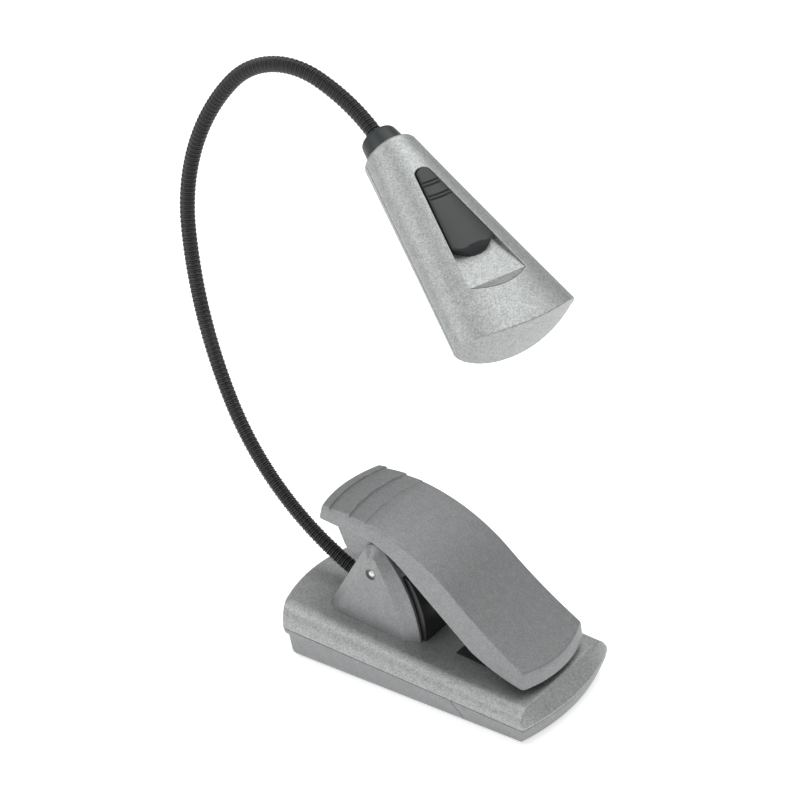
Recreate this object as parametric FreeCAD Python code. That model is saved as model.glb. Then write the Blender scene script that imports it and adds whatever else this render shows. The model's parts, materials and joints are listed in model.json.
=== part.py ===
import FreeCAD, Part
import math
import os

from FreeCAD import Vector

# Clip-on reading lamp. Millimetres, +Z up, +X from the neck root towards the jaw tip.
# The origin is the centre of the base's underside, and the clip is symmetric about y = 0.

# Base: a wedge-shaped battery case with arched ends and rounded long edges.
base_length = 92.0
base_width = 53.0
front_bulge = 3.6
rear_bulge = 5.5
top_height = 15.5
top_slope = -0.08
parting_height = 8.5
parting_slope = -0.0457
shoulder_radius = 5.0
wall = 1.8
facet_crease = 44.2
facet_foot = 7.0
rear_chamfer = 1.4
floor_thickness = 1.6
side_inset = 2.3
rear_inset = 3.6
front_inset = 2.0
split_foot = 24.2
split_slope = -0.645
door_gap = 0.15

# Three AAA cells side by side above the battery door.
cell_radius = 5.25
cell_length = 44.5
nub_length = 1.0
nub_radius = 1.9
cell_pitch = 11.8
cell_start = -36.0
cell_height = 7.2
contact_thickness = 0.4
leaf_thickness = 0.3
leaf_half = 2.0

# Hinge: a bracket with two bevelled ears, a steel pin and a torsion spring.
pin_x = -16.9
pin_z = 36.4
pin_radius = 1.2
pin_clearance = 0.05
pin_half_length = 16.7
ear_inner = 13.4
ear_bevel = 15.5
ear_outer = 17.5
spring_radius = 3.3
spring_wire = 0.5
spring_pitch = 1.35
spring_turns = 8

# Lever: a tapered, humped thumb plate with skirts and two hinge cheeks.
lever_rear = -37.2
lever_front = 41.2
lever_rear_half = 16.4
lever_front_half = 18.6
lever_bulge = 3.0
lever_plate = 2.2
lever_skirt = 1.8
land_ends = [-33.3, -25.6]
land_rise = 0.65
cheek_inner = 10.7
cheek_outer = 12.9
cheek_boss = 4.5

# Jaw pads: a slab let into the top of the base, and a foot under the lever's tip.
pad_start = 12.2
pad_end = 40.5
pad_half = 12.0
pad_sink = 0.6
pad_lift = 0.4
jaw_gap = 0.4

# Gooseneck: tangent arcs as (radius, degrees), then one arc that turns into the head's direction.
neck_start = Vector(-38.6, 0, 24.5)
neck_heading = 25.5
neck_arcs = [(97.0, 39.7), (162.5, 21.2), (70.6, 48.2), (30.5, 67.0)]
neck_last_radius = 78.8
neck_radius = 2.5
neck_bore = 1.1
ball_radius = 2.0
ball_clearance = 0.05
stem_radius = 1.45
cup_setback = 1.0
shoulder_setback = 1.9
link_count = 11
first_joint = 3.0
last_joint_setback = 8.0
socket_depth = 16.0
root_depth = 9.3
socket_mouth = -5.5
socket_radius = 4.0

# Head: a flattened cone that fans out to an arched end. Its own frame has X along the
# beam's length away from the neck, Y across and Z towards the switch.
head_pitch = 31.5
head_yaw = -15.8
head_roll = 16.9
head_start = 6.2
head_shoulder = 8.6
head_end = 75.2
head_end_bulge = 4.6
half_width_at_neck = 7.24
half_width_at_end = 20.9
half_height_at_neck = 8.81
half_height_at_end = 9.7
head_wall = 1.6
collar_radius = 6.6
collar_mouth_radius = 5.7
slot_apex = 21.4
slot_top = 23.5
slot_top_half = 2.85
slot_bottom = 62.7
slot_bottom_half = 9.8
slot_bottom_arc = 65.8
knob_end = 50.0
knob_end_arc = 54.0
knob_travel = 4.0
knob_underside = 7.5
floor_flat = 6.5
floor_rise_start = 50.0
floor_rise_end = 63.5
floor_rise_height = 8.1
window_start = 50.0
window_end = 69.0
window_half_start = 9.0
window_half_end = 13.0


def export(shape, name):
    if shape.ShapeType == "Compound" and len(shape.Solids) == 1:
        shape = shape.Solids[0]
    print(name, "solids", len(shape.Solids), "volume", round(shape.Volume, 1), "valid", shape.isValid())
    shape.exportStep("parts/" + name + ".step")


def edge_line(a, b):
    return Part.LineSegment(a, b).toShape()


def edge_arc(a, b, c):
    return Part.Arc(a, b, c).toShape()


def polygon_prism(points, direction):
    closed = Part.makePolygon(points + [points[0]])
    return Part.Face(closed).extrude(direction)


def side_prism(points, half_width):
    # points are (x, z) pairs, extruded from -half_width to +half_width
    profile = [Vector(x, -half_width, z) for x, z in points]
    return polygon_prism(profile, Vector(0, 2 * half_width, 0))


def cylinder(radius, start, end):
    axis = end - start
    return Part.makeCylinder(radius, axis.Length, start, axis)


def group(solids):
    return Part.makeCompound(solids)


# ---------------------------------------------------------------- base outline

def top_z(x):
    return top_height + top_slope * x


def parting_z(x):
    return parting_height + parting_slope * x


def arc_x(y, half_width, bulge):
    # offset of an end arc from its corner line, by the circle through the three points
    radius = (half_width ** 2 + bulge ** 2) / (2 * bulge)
    return math.sqrt(radius ** 2 - y ** 2) - (radius - bulge)


def plan_wire(side, rear, front, height):
    half = base_width / 2 - side
    x_rear = -base_length / 2 + rear
    x_front = base_length / 2 - front
    near_rear = Vector(x_rear, -half, height(x_rear))
    near_front = Vector(x_front, -half, height(x_front))
    far_front = Vector(x_front, half, height(x_front))
    far_rear = Vector(x_rear, half, height(x_rear))
    front_mid = Vector(x_front + front_bulge, 0, height(x_front + front_bulge))
    rear_mid = Vector(x_rear - rear_bulge, 0, height(x_rear - rear_bulge))
    return Part.Wire([
        edge_line(near_rear, near_front),
        edge_arc(near_front, front_mid, far_front),
        edge_line(far_front, far_rear),
        edge_arc(far_rear, rear_mid, near_rear),
    ])


def end_arc(corner_x, bulge, sign, z):
    # an end arc drawn past both sides of the base
    half = base_width / 2 + 2.0
    x_edge = corner_x + sign * arc_x(half, base_width / 2, bulge)
    return edge_arc(Vector(x_edge, -half, z), Vector(corner_x + sign * bulge, 0, z), Vector(x_edge, half, z))


def rear_tool(corner_x, z):
    # the region behind the rear arc, swept along a slant that bevels the rear top edge
    arc = end_arc(corner_x, rear_bulge, -1, z)
    near, far = arc.Vertexes[0].Point, arc.Vertexes[-1].Point
    out = Vector(corner_x - 40, 0, 0)
    wire = Part.Wire([
        arc,
        edge_line(far, Vector(out.x, far.y, z)),
        edge_line(Vector(out.x, far.y, z), Vector(out.x, near.y, z)),
        edge_line(Vector(out.x, near.y, z), near),
    ])
    return Part.Face(wire).extrude(Vector(8, 0, 8))


def facet_tool(inset):
    # a ruled face from a straight crease across the top to the front arc, and all in front of it
    foot = end_arc(base_length / 2 - inset, front_bulge, 1, facet_foot)
    near, far = foot.Vertexes[0].Point, foot.Vertexes[-1].Point
    crease_z = top_z(facet_crease) - inset
    crease = edge_line(Vector(facet_crease - inset, near.y, crease_z), Vector(facet_crease - inset, far.y, crease_z))
    sheet = Part.makeRuledSurface(crease, foot)
    lift = Part.makeRuledSurface(edge_line(crease.Vertexes[0].Point + Vector(0, 0, 12),
                                           crease.Vertexes[-1].Point + Vector(0, 0, 12)), crease)
    return sheet.extrude(Vector(20, 0, 0)).fuse(lift.extrude(Vector(20, 0, 0)))


def base_block(inset):
    # the closed outer form of the top half, drawn in by inset on every side
    flat = Part.Face(plan_wire(inset, inset, inset, lambda x: -5.0))
    prism = flat.extrude(Vector(0, 0, 40))
    half = base_width / 2 - inset
    radius = shoulder_radius - inset
    x_start = -60.0
    crown = top_z(x_start) - inset
    bend = radius * (1 - math.sqrt(0.5))
    section = Part.Wire([
        edge_line(Vector(x_start, -half, -20), Vector(x_start, -half, crown - radius)),
        edge_arc(Vector(x_start, -half, crown - radius),
                 Vector(x_start, -half + bend, crown - bend),
                 Vector(x_start, -half + radius, crown)),
        edge_line(Vector(x_start, -half + radius, crown), Vector(x_start, half - radius, crown)),
        edge_arc(Vector(x_start, half - radius, crown),
                 Vector(x_start, half - bend, crown - bend),
                 Vector(x_start, half, crown - radius)),
        edge_line(Vector(x_start, half, crown - radius), Vector(x_start, half, -20)),
        edge_line(Vector(x_start, half, -20), Vector(x_start, -half, -20)),
    ])
    bar = Part.Face(section).extrude(Vector(120, 0, 120 * top_slope))
    block = prism.common(bar)
    corner = base_length / 2 - inset
    rear = rear_tool(-corner, top_z(-corner) - inset - rear_chamfer)
    return block.cut(facet_tool(inset)).cut(rear)


def below_parting(drop=0.0):
    reach = 70.0
    return side_prism([(-reach, -30), (reach, -30), (reach, parting_z(reach) - drop),
                       (-reach, parting_z(-reach) - drop)], 40)


def base_screw_places():
    return [(34.0, -15.5), (34.0, 15.5)]


def pad_prism(start, end, half, lift, sink):
    # a slab that lies along the sloping top face
    points = [(start, top_z(start) - sink), (end, top_z(end) - sink),
              (end, top_z(end) + lift), (start, top_z(start) + lift)]
    return side_prism(points, half)


def make_base_top():
    shell = base_block(0).cut(base_block(wall)).cut(below_parting())
    shell = shell.cut(pad_prism(pad_start, pad_end, pad_half, 3.0, pad_sink))
    for x, y in base_screw_places():
        boss = cylinder(3.2, Vector(x, y, parting_z(x) + 0.2), Vector(x, y, top_z(x) - 1.0))
        boss = boss.cut(cylinder(1.0, Vector(x, y, 0), Vector(x, y, top_z(x) - 2.2)))
        shell = shell.fuse(boss.common(base_block(0.5)))
    for side in (-1, 1):
        foot = Vector(-15.3, side * 8.0, top_z(-15.3))
        shell = shell.cut(cylinder(1.0, foot - Vector(0, 0, 4), foot + Vector(0, 0, 2)))
    shell = shell.cut(cylinder(1.7, Vector(-25.0, 0, 10), Vector(-25.0, 0, 20)))
    return shell.removeSplitter()


def lower_form(side, rear, front, floor_z):
    # tapered lower case between the floor and the parting plane, with a bevelled foot
    bevel = 1.4
    foot = plan_wire(side_inset + side + bevel, rear_inset + rear + bevel,
                     front_inset + front + bevel, lambda x: floor_z)
    waist = plan_wire(side_inset + side, rear_inset + rear, front_inset + front,
                      lambda x: floor_z + bevel)
    rim = plan_wire(side + 0.25, rear + 0.25, front + 0.25, parting_z)
    lower = Part.makeLoft([foot, waist], True, True)
    upper = Part.makeLoft([waist, rim], True, True)
    return lower.fuse(upper)


def make_lower_shell():
    outer = lower_form(0, 0, 0, 0.0)
    inner = lower_form(wall, wall, wall, floor_thickness)
    lift = polygon_prism([Vector(-60, -40, parting_z(-60) - 0.6), Vector(60, -40, parting_z(60) - 0.6),
                          Vector(60, -40, 40), Vector(-60, -40, 40)], Vector(0, 80, 0))
    rim = Part.Face(plan_wire(wall, wall, wall, parting_z)).extrude(Vector(0, 0, -2.0))
    return outer.cut(inner).cut(rim.common(lift))


def split_tool(offset):
    # everything ahead of the slanting joint line between battery door and front shell
    low = -10.0
    high = 30.0
    return side_prism([(split_foot + split_slope * low + offset, low), (80, low), (80, high),
                       (split_foot + split_slope * high + offset, high)], 40)


def make_front_shell(lower):
    shell = lower.common(split_tool(0))
    for x, y in base_screw_places():
        boss = cylinder(3.2, Vector(x, y, 0.4), Vector(x, y, parting_z(x) + 0.2))
        boss = boss.cut(cylinder(2.2, Vector(x, y, -1), Vector(x, y, 3.0)))
        boss = boss.cut(cylinder(1.2, Vector(x, y, 0), Vector(x, y, 30)))
        shell = shell.cut(cylinder(2.2, Vector(x, y, -1), Vector(x, y, 3.0)))
        shell = shell.fuse(boss)
    return shell.removeSplitter()


def make_battery_door(lower):
    door = lower.cut(split_tool(-door_gap))
    for i in range(4):
        x = -38.0 + 2.6 * i
        groove = cylinder(0.5, Vector(x, -9, 0), Vector(x, 9, 0))
        door = door.cut(groove)
    return door


def make_base_screw(x, y):
    shank = cylinder(1.0, Vector(x, y, 3.0), Vector(x, y, top_z(x) - 3.0))
    head = cylinder(2.0, Vector(x, y, 1.7), Vector(x, y, 3.0))
    slot = Part.makeBox(4.4, 0.5, 0.7, Vector(x - 2.2, y - 0.25, 1.5))
    cross = Part.makeBox(0.5, 4.4, 0.7, Vector(x - 0.25, y - 2.2, 1.5))
    return shank.fuse(head).cut(slot).cut(cross)


# ---------------------------------------------------------------- batteries

def cell_rows():
    # (y, +1 when the positive end points to +X)
    return [(-cell_pitch, 1), (0.0, -1), (cell_pitch, 1)]


def make_cell(y, way):
    start = cell_start if way > 0 else cell_start + nub_length
    body_end = start + cell_length - nub_length
    body = cylinder(cell_radius, Vector(start, y, cell_height), Vector(body_end, y, cell_height))
    nub_from = body_end if way > 0 else start - nub_length
    nub = cylinder(nub_radius, Vector(nub_from, y, cell_height), Vector(nub_from + nub_length, y, cell_height))
    return body.fuse(nub)


tray_rear = cell_start - 3.6
tray_front = cell_start + cell_length + 3.6


def tray_wall(x, half):
    # an end wall that stands up to the inside of the case top
    crown = wall + 0.02
    return side_prism([(x, 2.0), (x + 1.2, 2.0), (x + 1.2, top_z(x + 1.2) - crown), (x, top_z(x) - crown)], half)


def make_battery_tray():
    half = cell_pitch * 1.5
    tray = tray_wall(tray_rear - 1.2, half).fuse(tray_wall(tray_front, half))
    for y in (-cell_pitch / 2, cell_pitch / 2):
        rail = Part.makeBox(tray_front - tray_rear + 2, 1.0, 6.5, Vector(tray_rear - 1, y - 0.5, 2.0))
        tray = tray.fuse(rail)
    for y, way in cell_rows():
        tray = tray.cut(cylinder(cell_radius + 0.1, Vector(tray_rear, y, cell_height),
                                 Vector(tray_front, y, cell_height)))
    return tray.removeSplitter()


def make_contact_springs():
    # bowed leaves that press on the negative ends of the cells
    springs = []
    for y, way in cell_rows():
        root = tray_rear + contact_thickness if way > 0 else tray_front - contact_thickness
        tip = cell_start if way > 0 else cell_start + cell_length
        inner = tip - way * leaf_thickness
        outline = [(root, -2.8), (tip, -0.9), (tip, 0.9), (root, 2.8),
                   (root, 2.3), (inner, 0.7), (inner, -0.7), (root, -2.3)]
        points = [Vector(x, y - leaf_half, cell_height + z) for x, z in outline]
        springs.append(polygon_prism(points, Vector(0, 2 * leaf_half, 0)))
    return group(springs)


def make_contact_plates():
    plates = []
    for y, way in cell_rows():
        for x in (tray_rear, tray_front - contact_thickness):
            plates.append(Part.makeBox(contact_thickness, 7.5, 7.0, Vector(x, y - 3.75, cell_height - 3.5)))
    for y, way in cell_rows():
        tip = cell_start + cell_length if way > 0 else cell_start
        base = tray_front - contact_thickness if way > 0 else tray_rear + contact_thickness
        plates.append(cylinder(1.2, Vector(min(tip, base), y, cell_height),
                               Vector(max(tip, base), y, cell_height)))
    fused = plates[0]
    for plate in plates[1:]:
        fused = fused.fuse(plate)
    return group(fused.removeSplitter().Solids)


# ---------------------------------------------------------------- hinge bracket

def ear_outline(y, foot_rear, slope_top, apex, slope_front, shoulder, foot_front):
    def place(point):
        return Vector(point[0], y, point[1])
    rear = (foot_rear, top_z(foot_rear))
    front = (foot_front, top_z(foot_front))
    return Part.Wire([
        edge_line(place(rear), place(slope_top)),
        edge_arc(place(slope_top), place(apex), place(slope_front)),
        edge_arc(place(slope_front), place(shoulder), place(front)),
        edge_line(place(front), place(rear)),
    ])


def make_ear(side):
    wide = (-35.1, (-21.6, 42.6), (-17.2, 45.9), (-12.9, 43.4), (-4.6, 31.6), 0.4)
    narrow = (-31.5, (-18.6, 41.1), (-16.7, 42.7), (-14.7, 41.2), (-9.6, 31.6), -4.5)
    inner = ear_outline(side * ear_inner, *wide)
    bevel = ear_outline(side * ear_bevel, *wide)
    outer = ear_outline(side * ear_outer, *narrow)
    ear = Part.makeLoft([inner, bevel], True, True)
    ear = ear.fuse(Part.makeLoft([bevel, outer], True, True))
    bore = cylinder(pin_radius, Vector(pin_x, -20, pin_z), Vector(pin_x, 20, pin_z))
    sink = cylinder(1.85, Vector(pin_x, side * 16.7, pin_z), Vector(pin_x, side * 20, pin_z))
    return ear.cut(bore).cut(sink)


bridge_rear = -19.0
bridge_front = -11.6
bridge_thickness = 1.5


def make_bracket():
    bridge = side_prism([(bridge_rear, top_z(bridge_rear)), (bridge_front, top_z(bridge_front)),
                         (bridge_front, top_z(bridge_front) + bridge_thickness),
                         (bridge_rear, top_z(bridge_rear) + bridge_thickness)], ear_inner + 1.0)
    bracket = make_ear(-1).fuse(make_ear(1)).fuse(bridge)
    for side in (-1, 1):
        hole = cylinder(1.1, Vector(-15.3, side * 8.0, 10), Vector(-15.3, side * 8.0, 25))
        bracket = bracket.cut(hole)
    return bracket.removeSplitter()


def make_bracket_screws():
    screws = []
    for side in (-1, 1):
        seat = top_z(bridge_rear) + bridge_thickness
        shank = cylinder(1.0, Vector(-15.3, side * 8.0, seat - 4.6), Vector(-15.3, side * 8.0, seat))
        head = cylinder(1.9, Vector(-15.3, side * 8.0, seat), Vector(-15.3, side * 8.0, seat + 1.1))
        screws.append(shank.fuse(head))
    return group(screws)


def make_pin():
    pin = cylinder(pin_radius, Vector(pin_x, -pin_half_length, pin_z), Vector(pin_x, pin_half_length, pin_z))
    rims = [edge for edge in pin.Edges if edge.Curve.TypeId == "Part::GeomCircle"]
    return pin.makeFillet(0.3, rims)


def make_torsion_spring():
    height = spring_pitch * spring_turns
    coil = Part.makeHelix(spring_pitch, height, spring_radius, 0)
    profile = Part.Wire(Part.makeCircle(spring_wire, Vector(spring_radius, 0, 0), Vector(0, 1, 0.065)))
    body = Part.Wire(coil).makePipeShell([profile], True, True)
    lower = cylinder(spring_wire, Vector(spring_radius, -0.02, 0), Vector(spring_radius, -18.0, 0))
    upper = cylinder(spring_wire, Vector(spring_radius, 0.02, height), Vector(spring_radius, 13.6, height))
    spring = group([body, lower, upper])
    # lay the coil along Y about the pin, one leg down to the base and one up under the lever
    spring.translate(Vector(0, 0, -height / 2))
    spring.rotate(Vector(0, 0, 0), Vector(1, 0, 0), 90)
    spring.translate(Vector(pin_x, 0, pin_z))
    return spring


def make_spring_cover():
    foot = (-10.6, top_z(-10.6))
    toe = (1.4, top_z(1.4))
    half = 12.9
    start = Vector(foot[0], -half, foot[1])
    wire = Part.Wire([
        edge_line(start, Vector(toe[0], -half, toe[1])),
        edge_arc(Vector(toe[0], -half, toe[1]), Vector(0.2, -half, 24.5), Vector(-4.4, -half, 34.6)),
        edge_arc(Vector(-4.4, -half, 34.6), Vector(-6.2, -half, 36.0), Vector(-8.6, -half, 35.6)),
        edge_arc(Vector(-8.6, -half, 35.6), Vector(-11.0, -half, 26.0), start),
    ])
    block = Part.Face(wire).extrude(Vector(0, 2 * half, 0))
    hollow_wire = Part.makePolygon([Vector(-14, 0, 10), Vector(-1.4, 0, 10), Vector(-2.6, 0, 24),
                                    Vector(-6.3, 0, 33.4), Vector(-14, 0, 33.4), Vector(-14, 0, 10)])
    hollow = Part.Face(hollow_wire).extrude(Vector(0, 2 * (half - 1.8), 0))
    hollow.translate(Vector(0, -(half - 1.8), 0))
    return block.cut(hollow)


# ---------------------------------------------------------------- lever

def lever_half(x):
    t = (x - lever_rear) / (lever_front - lever_rear)
    return lever_rear_half + (lever_front_half - lever_rear_half) * t


def lever_top_edges(drop, y):
    def at(x, z):
        return Vector(x, y, z - drop)
    return [
        edge_arc(at(-41.0, 52.3), at(-29.5, 53.9), at(-18.0, 53.7)),
        edge_arc(at(-18.0, 53.7), at(-3.0, 49.4), at(12.0, 40.6)),
        edge_arc(at(12.0, 40.6), at(29.0, 27.8), at(47.0, 17.2)),
    ]


def lever_profile(drop, bottom):
    y = -25.0
    edges = lever_top_edges(drop, y)
    start = edges[0].Vertexes[0].Point
    end = edges[-1].Vertexes[-1].Point
    return Part.Face(Part.Wire(edges + bottom(start, end, y))).extrude(Vector(0, 50, 0))


def skirt_bottom(start, end, y):
    def at(x, z):
        return Vector(x, y, z)
    tip = at(47.0, 14.3)
    return [
        edge_line(end, tip),
        edge_arc(tip, at(32.5, 17.1), at(21.2, 21.9)),
        edge_line(at(21.2, 21.9), at(-1.5, 39.4)),
        edge_arc(at(-1.5, 39.4), at(-8.6, 44.7), at(-17.0, 48.4)),
        edge_line(at(-17.0, 48.4), at(-41.0, 50.3)),
        edge_line(at(-41.0, 50.3), start),
    ]


def open_bottom(start, end, y):
    low_end = Vector(end.x, y, -5)
    low_start = Vector(start.x, y, -5)
    return [edge_line(end, low_end), edge_line(low_end, low_start), edge_line(low_start, start)]


def lever_plan(inset, rear, front):
    x_rear = rear + inset
    x_front = front - inset
    rear_half = lever_half(rear) - inset
    front_half = lever_half(front) - inset
    near_rear = Vector(x_rear, -rear_half, 0)
    near_front = Vector(x_front, -front_half, 0)
    far_front = Vector(x_front, front_half, 0)
    far_rear = Vector(x_rear, rear_half, 0)
    wire = Part.Wire([
        edge_line(near_rear, near_front),
        edge_arc(near_front, Vector(x_front + lever_bulge, 0, 0), far_front),
        edge_line(far_front, far_rear),
        edge_arc(far_rear, Vector(x_rear - lever_bulge, 0, 0), near_rear),
    ])
    return Part.Face(wire).extrude(Vector(0, 0, 90))


def land_plan(end_x):
    half = lever_half(end_x) + 3
    reach = -60.0
    bow = lever_bulge * 0.8
    near = Vector(end_x, -half, 0)
    far = Vector(end_x, half, 0)
    wire = Part.Wire([
        edge_line(Vector(reach, -half, 0), near),
        edge_arc(near, Vector(end_x - bow, 0, 0), far),
        edge_line(far, Vector(reach, half, 0)),
        edge_line(Vector(reach, half, 0), Vector(reach, -half, 0)),
    ])
    return Part.Face(wire).extrude(Vector(0, 0, 90))


def make_lever():
    plan = lever_plan(0, lever_rear, lever_front)
    body = lever_profile(0, skirt_bottom).common(plan)
    for count, end_x in enumerate(reversed(land_ends), start=1):
        raised = lever_profile(-land_rise * count, skirt_bottom).common(plan)
        body = body.fuse(raised.common(land_plan(end_x)))
    hollow = lever_profile(lever_plate, open_bottom)
    hollow = hollow.common(lever_plan(lever_skirt, lever_rear + 1.5, lever_front - 1.5))
    body = body.cut(hollow)
    for side in (-1, 1):
        web = [(-36.0, 52.0), (-29.6, 40.0), (-20.6, 33.8), (-16.9, 32.4), (-12.8, 35.0),
               (-5.6, 45.2), (-6.5, 49.6), (-18.0, 52.5), (-30.0, 52.8)]
        start = cheek_inner if side > 0 else -cheek_outer
        points = [Vector(x, start, z) for x, z in web]
        cheek = polygon_prism(points, Vector(0, cheek_outer - cheek_inner, 0))
        cheek = cheek.common(plan)
        boss = cylinder(cheek_boss, Vector(pin_x, start, pin_z),
                        Vector(pin_x, start + cheek_outer - cheek_inner, pin_z))
        body = body.fuse(cheek).fuse(boss)
    bore = cylinder(pin_radius + pin_clearance, Vector(pin_x, -14, pin_z), Vector(pin_x, 14, pin_z))
    body = body.cut(bore)
    return body.removeSplitter()


def make_lever_pad():
    # rubber foot that fills the tip down to just above the base pad
    start = 30.5
    end = 38.6
    half = 12.5
    low = pad_lift + jaw_gap
    block = side_prism([(start, top_z(start) + low), (end, top_z(end) + low), (end, 21.0), (start, 25.5)], half)
    room = lever_profile(lever_plate, open_bottom).common(lever_plan(lever_skirt, lever_rear + 1.5,
                                                                     lever_front - 1.5))
    return block.common(room)


# ---------------------------------------------------------------- gooseneck

def head_axes():
    pitch = math.radians(head_pitch)
    yaw = math.radians(head_yaw)
    roll = math.radians(head_roll)
    along = Vector(math.cos(pitch) * math.cos(yaw), math.sin(yaw), -math.sin(pitch) * math.cos(yaw))
    level = Vector(0, 1, 0) - along * along.y
    level.normalize()
    above = along.cross(level)
    across = level * math.cos(roll) + above * math.sin(roll)
    return along, across, along.cross(across)


def neck_segments():
    # each entry is (length, start point, start tangent, normal towards the centre, radius)
    heading = math.radians(neck_heading)
    point = neck_start
    tangent = Vector(-math.cos(heading), 0, math.sin(heading))
    normal = Vector(math.sin(heading), 0, math.cos(heading))
    segments = []
    for radius, degrees in neck_arcs:
        angle = math.radians(degrees)
        segments.append((radius * angle, point, tangent, normal, radius))
        point, tangent, normal = along_arc(point, tangent, normal, radius, angle)
    head_along = head_axes()[0]
    normal = head_along - tangent * tangent.dot(head_along)
    normal.normalize()
    angle = tangent.getAngle(head_along)
    segments.append((neck_last_radius * angle, point, tangent, normal, neck_last_radius))
    return segments


def along_arc(point, tangent, normal, radius, angle):
    centre = point + normal * radius
    out = normal * -math.cos(angle) + tangent * math.sin(angle)
    new_tangent = tangent * math.cos(angle) + normal * math.sin(angle)
    return centre + out * radius, new_tangent, out * -1


segments = neck_segments()
neck_length = sum(segment[0] for segment in segments)


def station(s):
    # point, tangent and normal at a distance s along the neck, straight beyond both ends
    if s <= 0:
        length, point, tangent, normal, radius = segments[0]
        return point + tangent * s, tangent, normal
    for length, point, tangent, normal, radius in segments:
        if s <= length:
            return along_arc(point, tangent, normal, radius, s / radius)
        s -= length
    point, tangent, normal = along_arc(point, tangent, normal, radius, length / radius)
    return point + tangent * s, tangent, normal


def neck_wire(start, end):
    breaks = [0.0]
    for segment in segments:
        breaks.append(breaks[-1] + segment[0])
    cuts = [start] + [b for b in breaks if start + 0.01 < b < end - 0.01] + [end]
    edges = []
    for a, b in zip(cuts, cuts[1:]):
        pa, pm, pb = station(a)[0], station((a + b) / 2)[0], station(b)[0]
        straight = b <= 0.001 or a >= neck_length - 0.001
        edges.append(edge_line(pa, pb) if straight else edge_arc(pa, pm, pb))
    return Part.Wire(edges)


def neck_pipe(start, end, radius):
    point, tangent, normal = station(start)
    disc = Part.Face(Part.Wire(Part.makeCircle(radius, point, tangent)))
    return neck_wire(start, end).makePipe(disc)


joint_step = (neck_length - last_joint_setback - first_joint) / link_count
joint_places = [first_joint + joint_step * i for i in range(link_count + 1)]


def make_link(cup_at, ball_at, start=None, end=None):
    # a length of sleeve with a ball at its head end and a cup at its root end
    first = cup_at - cup_setback if cup_at is not None else start
    last = ball_at - shoulder_setback if ball_at is not None else end
    link = neck_pipe(first, last, neck_radius)
    if ball_at is not None:
        point, tangent, normal = station(ball_at)
        stem = cylinder(stem_radius, point - tangent * (shoulder_setback + 0.6), point)
        ball = Part.makeSphere(ball_radius, point)
        link = link.fuse(stem).fuse(ball)
        bore_end = ball_at + ball_radius + 0.5
    else:
        bore_end = last + 0.5
    if cup_at is not None:
        point, tangent, normal = station(cup_at)
        link = link.cut(Part.makeSphere(ball_radius + ball_clearance, point))
    bore = neck_pipe(first - 0.5, bore_end, neck_bore)
    return link.cut(bore)


def make_neck_socket():
    inner_end = station(-socket_depth)[0]
    mouth = station(socket_mouth)[0]
    tube = cylinder(socket_radius, inner_end, mouth)
    below = Vector(0, 0, -12)
    stand = polygon_prism([inner_end + Vector(0, -3.4, 0), mouth + Vector(0, -3.4, 0),
                           mouth + Vector(0, -3.4, 0) + below, inner_end + Vector(0, -3.4, 0) + below],
                          Vector(0, 6.8, 0))
    socket = tube.fuse(stand)
    reach = 70.0
    under = side_prism([(-reach, -30), (reach, -30), (reach, top_z(reach)), (-reach, top_z(-reach))], 40)
    socket = socket.cut(under)
    socket = socket.cut(cylinder(neck_radius + 0.02, station(-root_depth - 0.02)[0], station(2)[0]))
    socket = socket.cut(cylinder(1.7, Vector(-25.0, 0, 10), Vector(-25.0, 0, 19.0)))
    return socket.removeSplitter()


# ---------------------------------------------------------------- head

def place_head(shape):
    along, across, above = head_axes()
    origin = station(neck_length)[0]
    matrix = FreeCAD.Matrix(along.x, across.x, above.x, origin.x,
                            along.y, across.y, above.y, origin.y,
                            along.z, across.z, above.z, origin.z,
                            0, 0, 0, 1)
    return shape.transformShape(matrix, True, False) or shape


def head_half_sizes(s):
    t = s / head_end
    half_width = half_width_at_neck + (half_width_at_end - half_width_at_neck) * t
    half_height = half_height_at_neck + (half_height_at_end - half_height_at_neck) * t
    return half_width, half_height


def ellipse_wire(s, half_width, half_height):
    centre = Vector(s, 0, 0)
    if half_width > half_height:
        curve = Part.Ellipse(Vector(s, half_width, 0), Vector(s, 0, half_height), centre)
    else:
        curve = Part.Ellipse(Vector(s, 0, half_height), Vector(s, -half_width, 0), centre)
    return Part.Wire(curve.toShape())


def head_surface_z(s, w):
    half_width, half_height = head_half_sizes(s)
    return half_height * math.sqrt(1 - (w / half_width) ** 2)


def head_cone(s0, s1, inset):
    wires = []
    for s in (s0, s1):
        half_width, half_height = head_half_sizes(s)
        wires.append(ellipse_wire(s, half_width - inset, half_height - inset))
    return Part.makeLoft(wires, True, True)


def head_end_prism(inset):
    # keeps everything on the neck side of the arched end
    half = half_width_at_end + 4
    corner = head_end - inset
    bow = arc_x(half, half_width_at_end, head_end_bulge)
    near = Vector(corner + bow, -half, -20)
    far = Vector(corner + bow, half, -20)
    wire = Part.Wire([
        edge_arc(near, Vector(corner + head_end_bulge, 0, -20), far),
        edge_line(far, Vector(0, half, -20)),
        edge_line(Vector(0, half, -20), Vector(0, -half, -20)),
        edge_line(Vector(0, -half, -20), near),
    ])
    return Part.Face(wire).extrude(Vector(0, 0, 40))


def head_skin():
    a0, b0 = 7.3, 7.4
    a1, b1 = head_half_sizes(head_shoulder)
    shoulder = Part.makeLoft([ellipse_wire(head_start, a0, b0), ellipse_wire(head_shoulder, a1, b1)], True, True)
    outer = shoulder.fuse(head_cone(head_shoulder, 84, 0)).common(head_end_prism(0))
    inner = head_cone(head_start + head_wall, 84, head_wall).common(head_end_prism(head_wall))
    mouth = cylinder(4.8, Vector(0, 0, 0), Vector(12, 0, 0))
    return outer, outer.cut(inner).cut(mouth)


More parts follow.
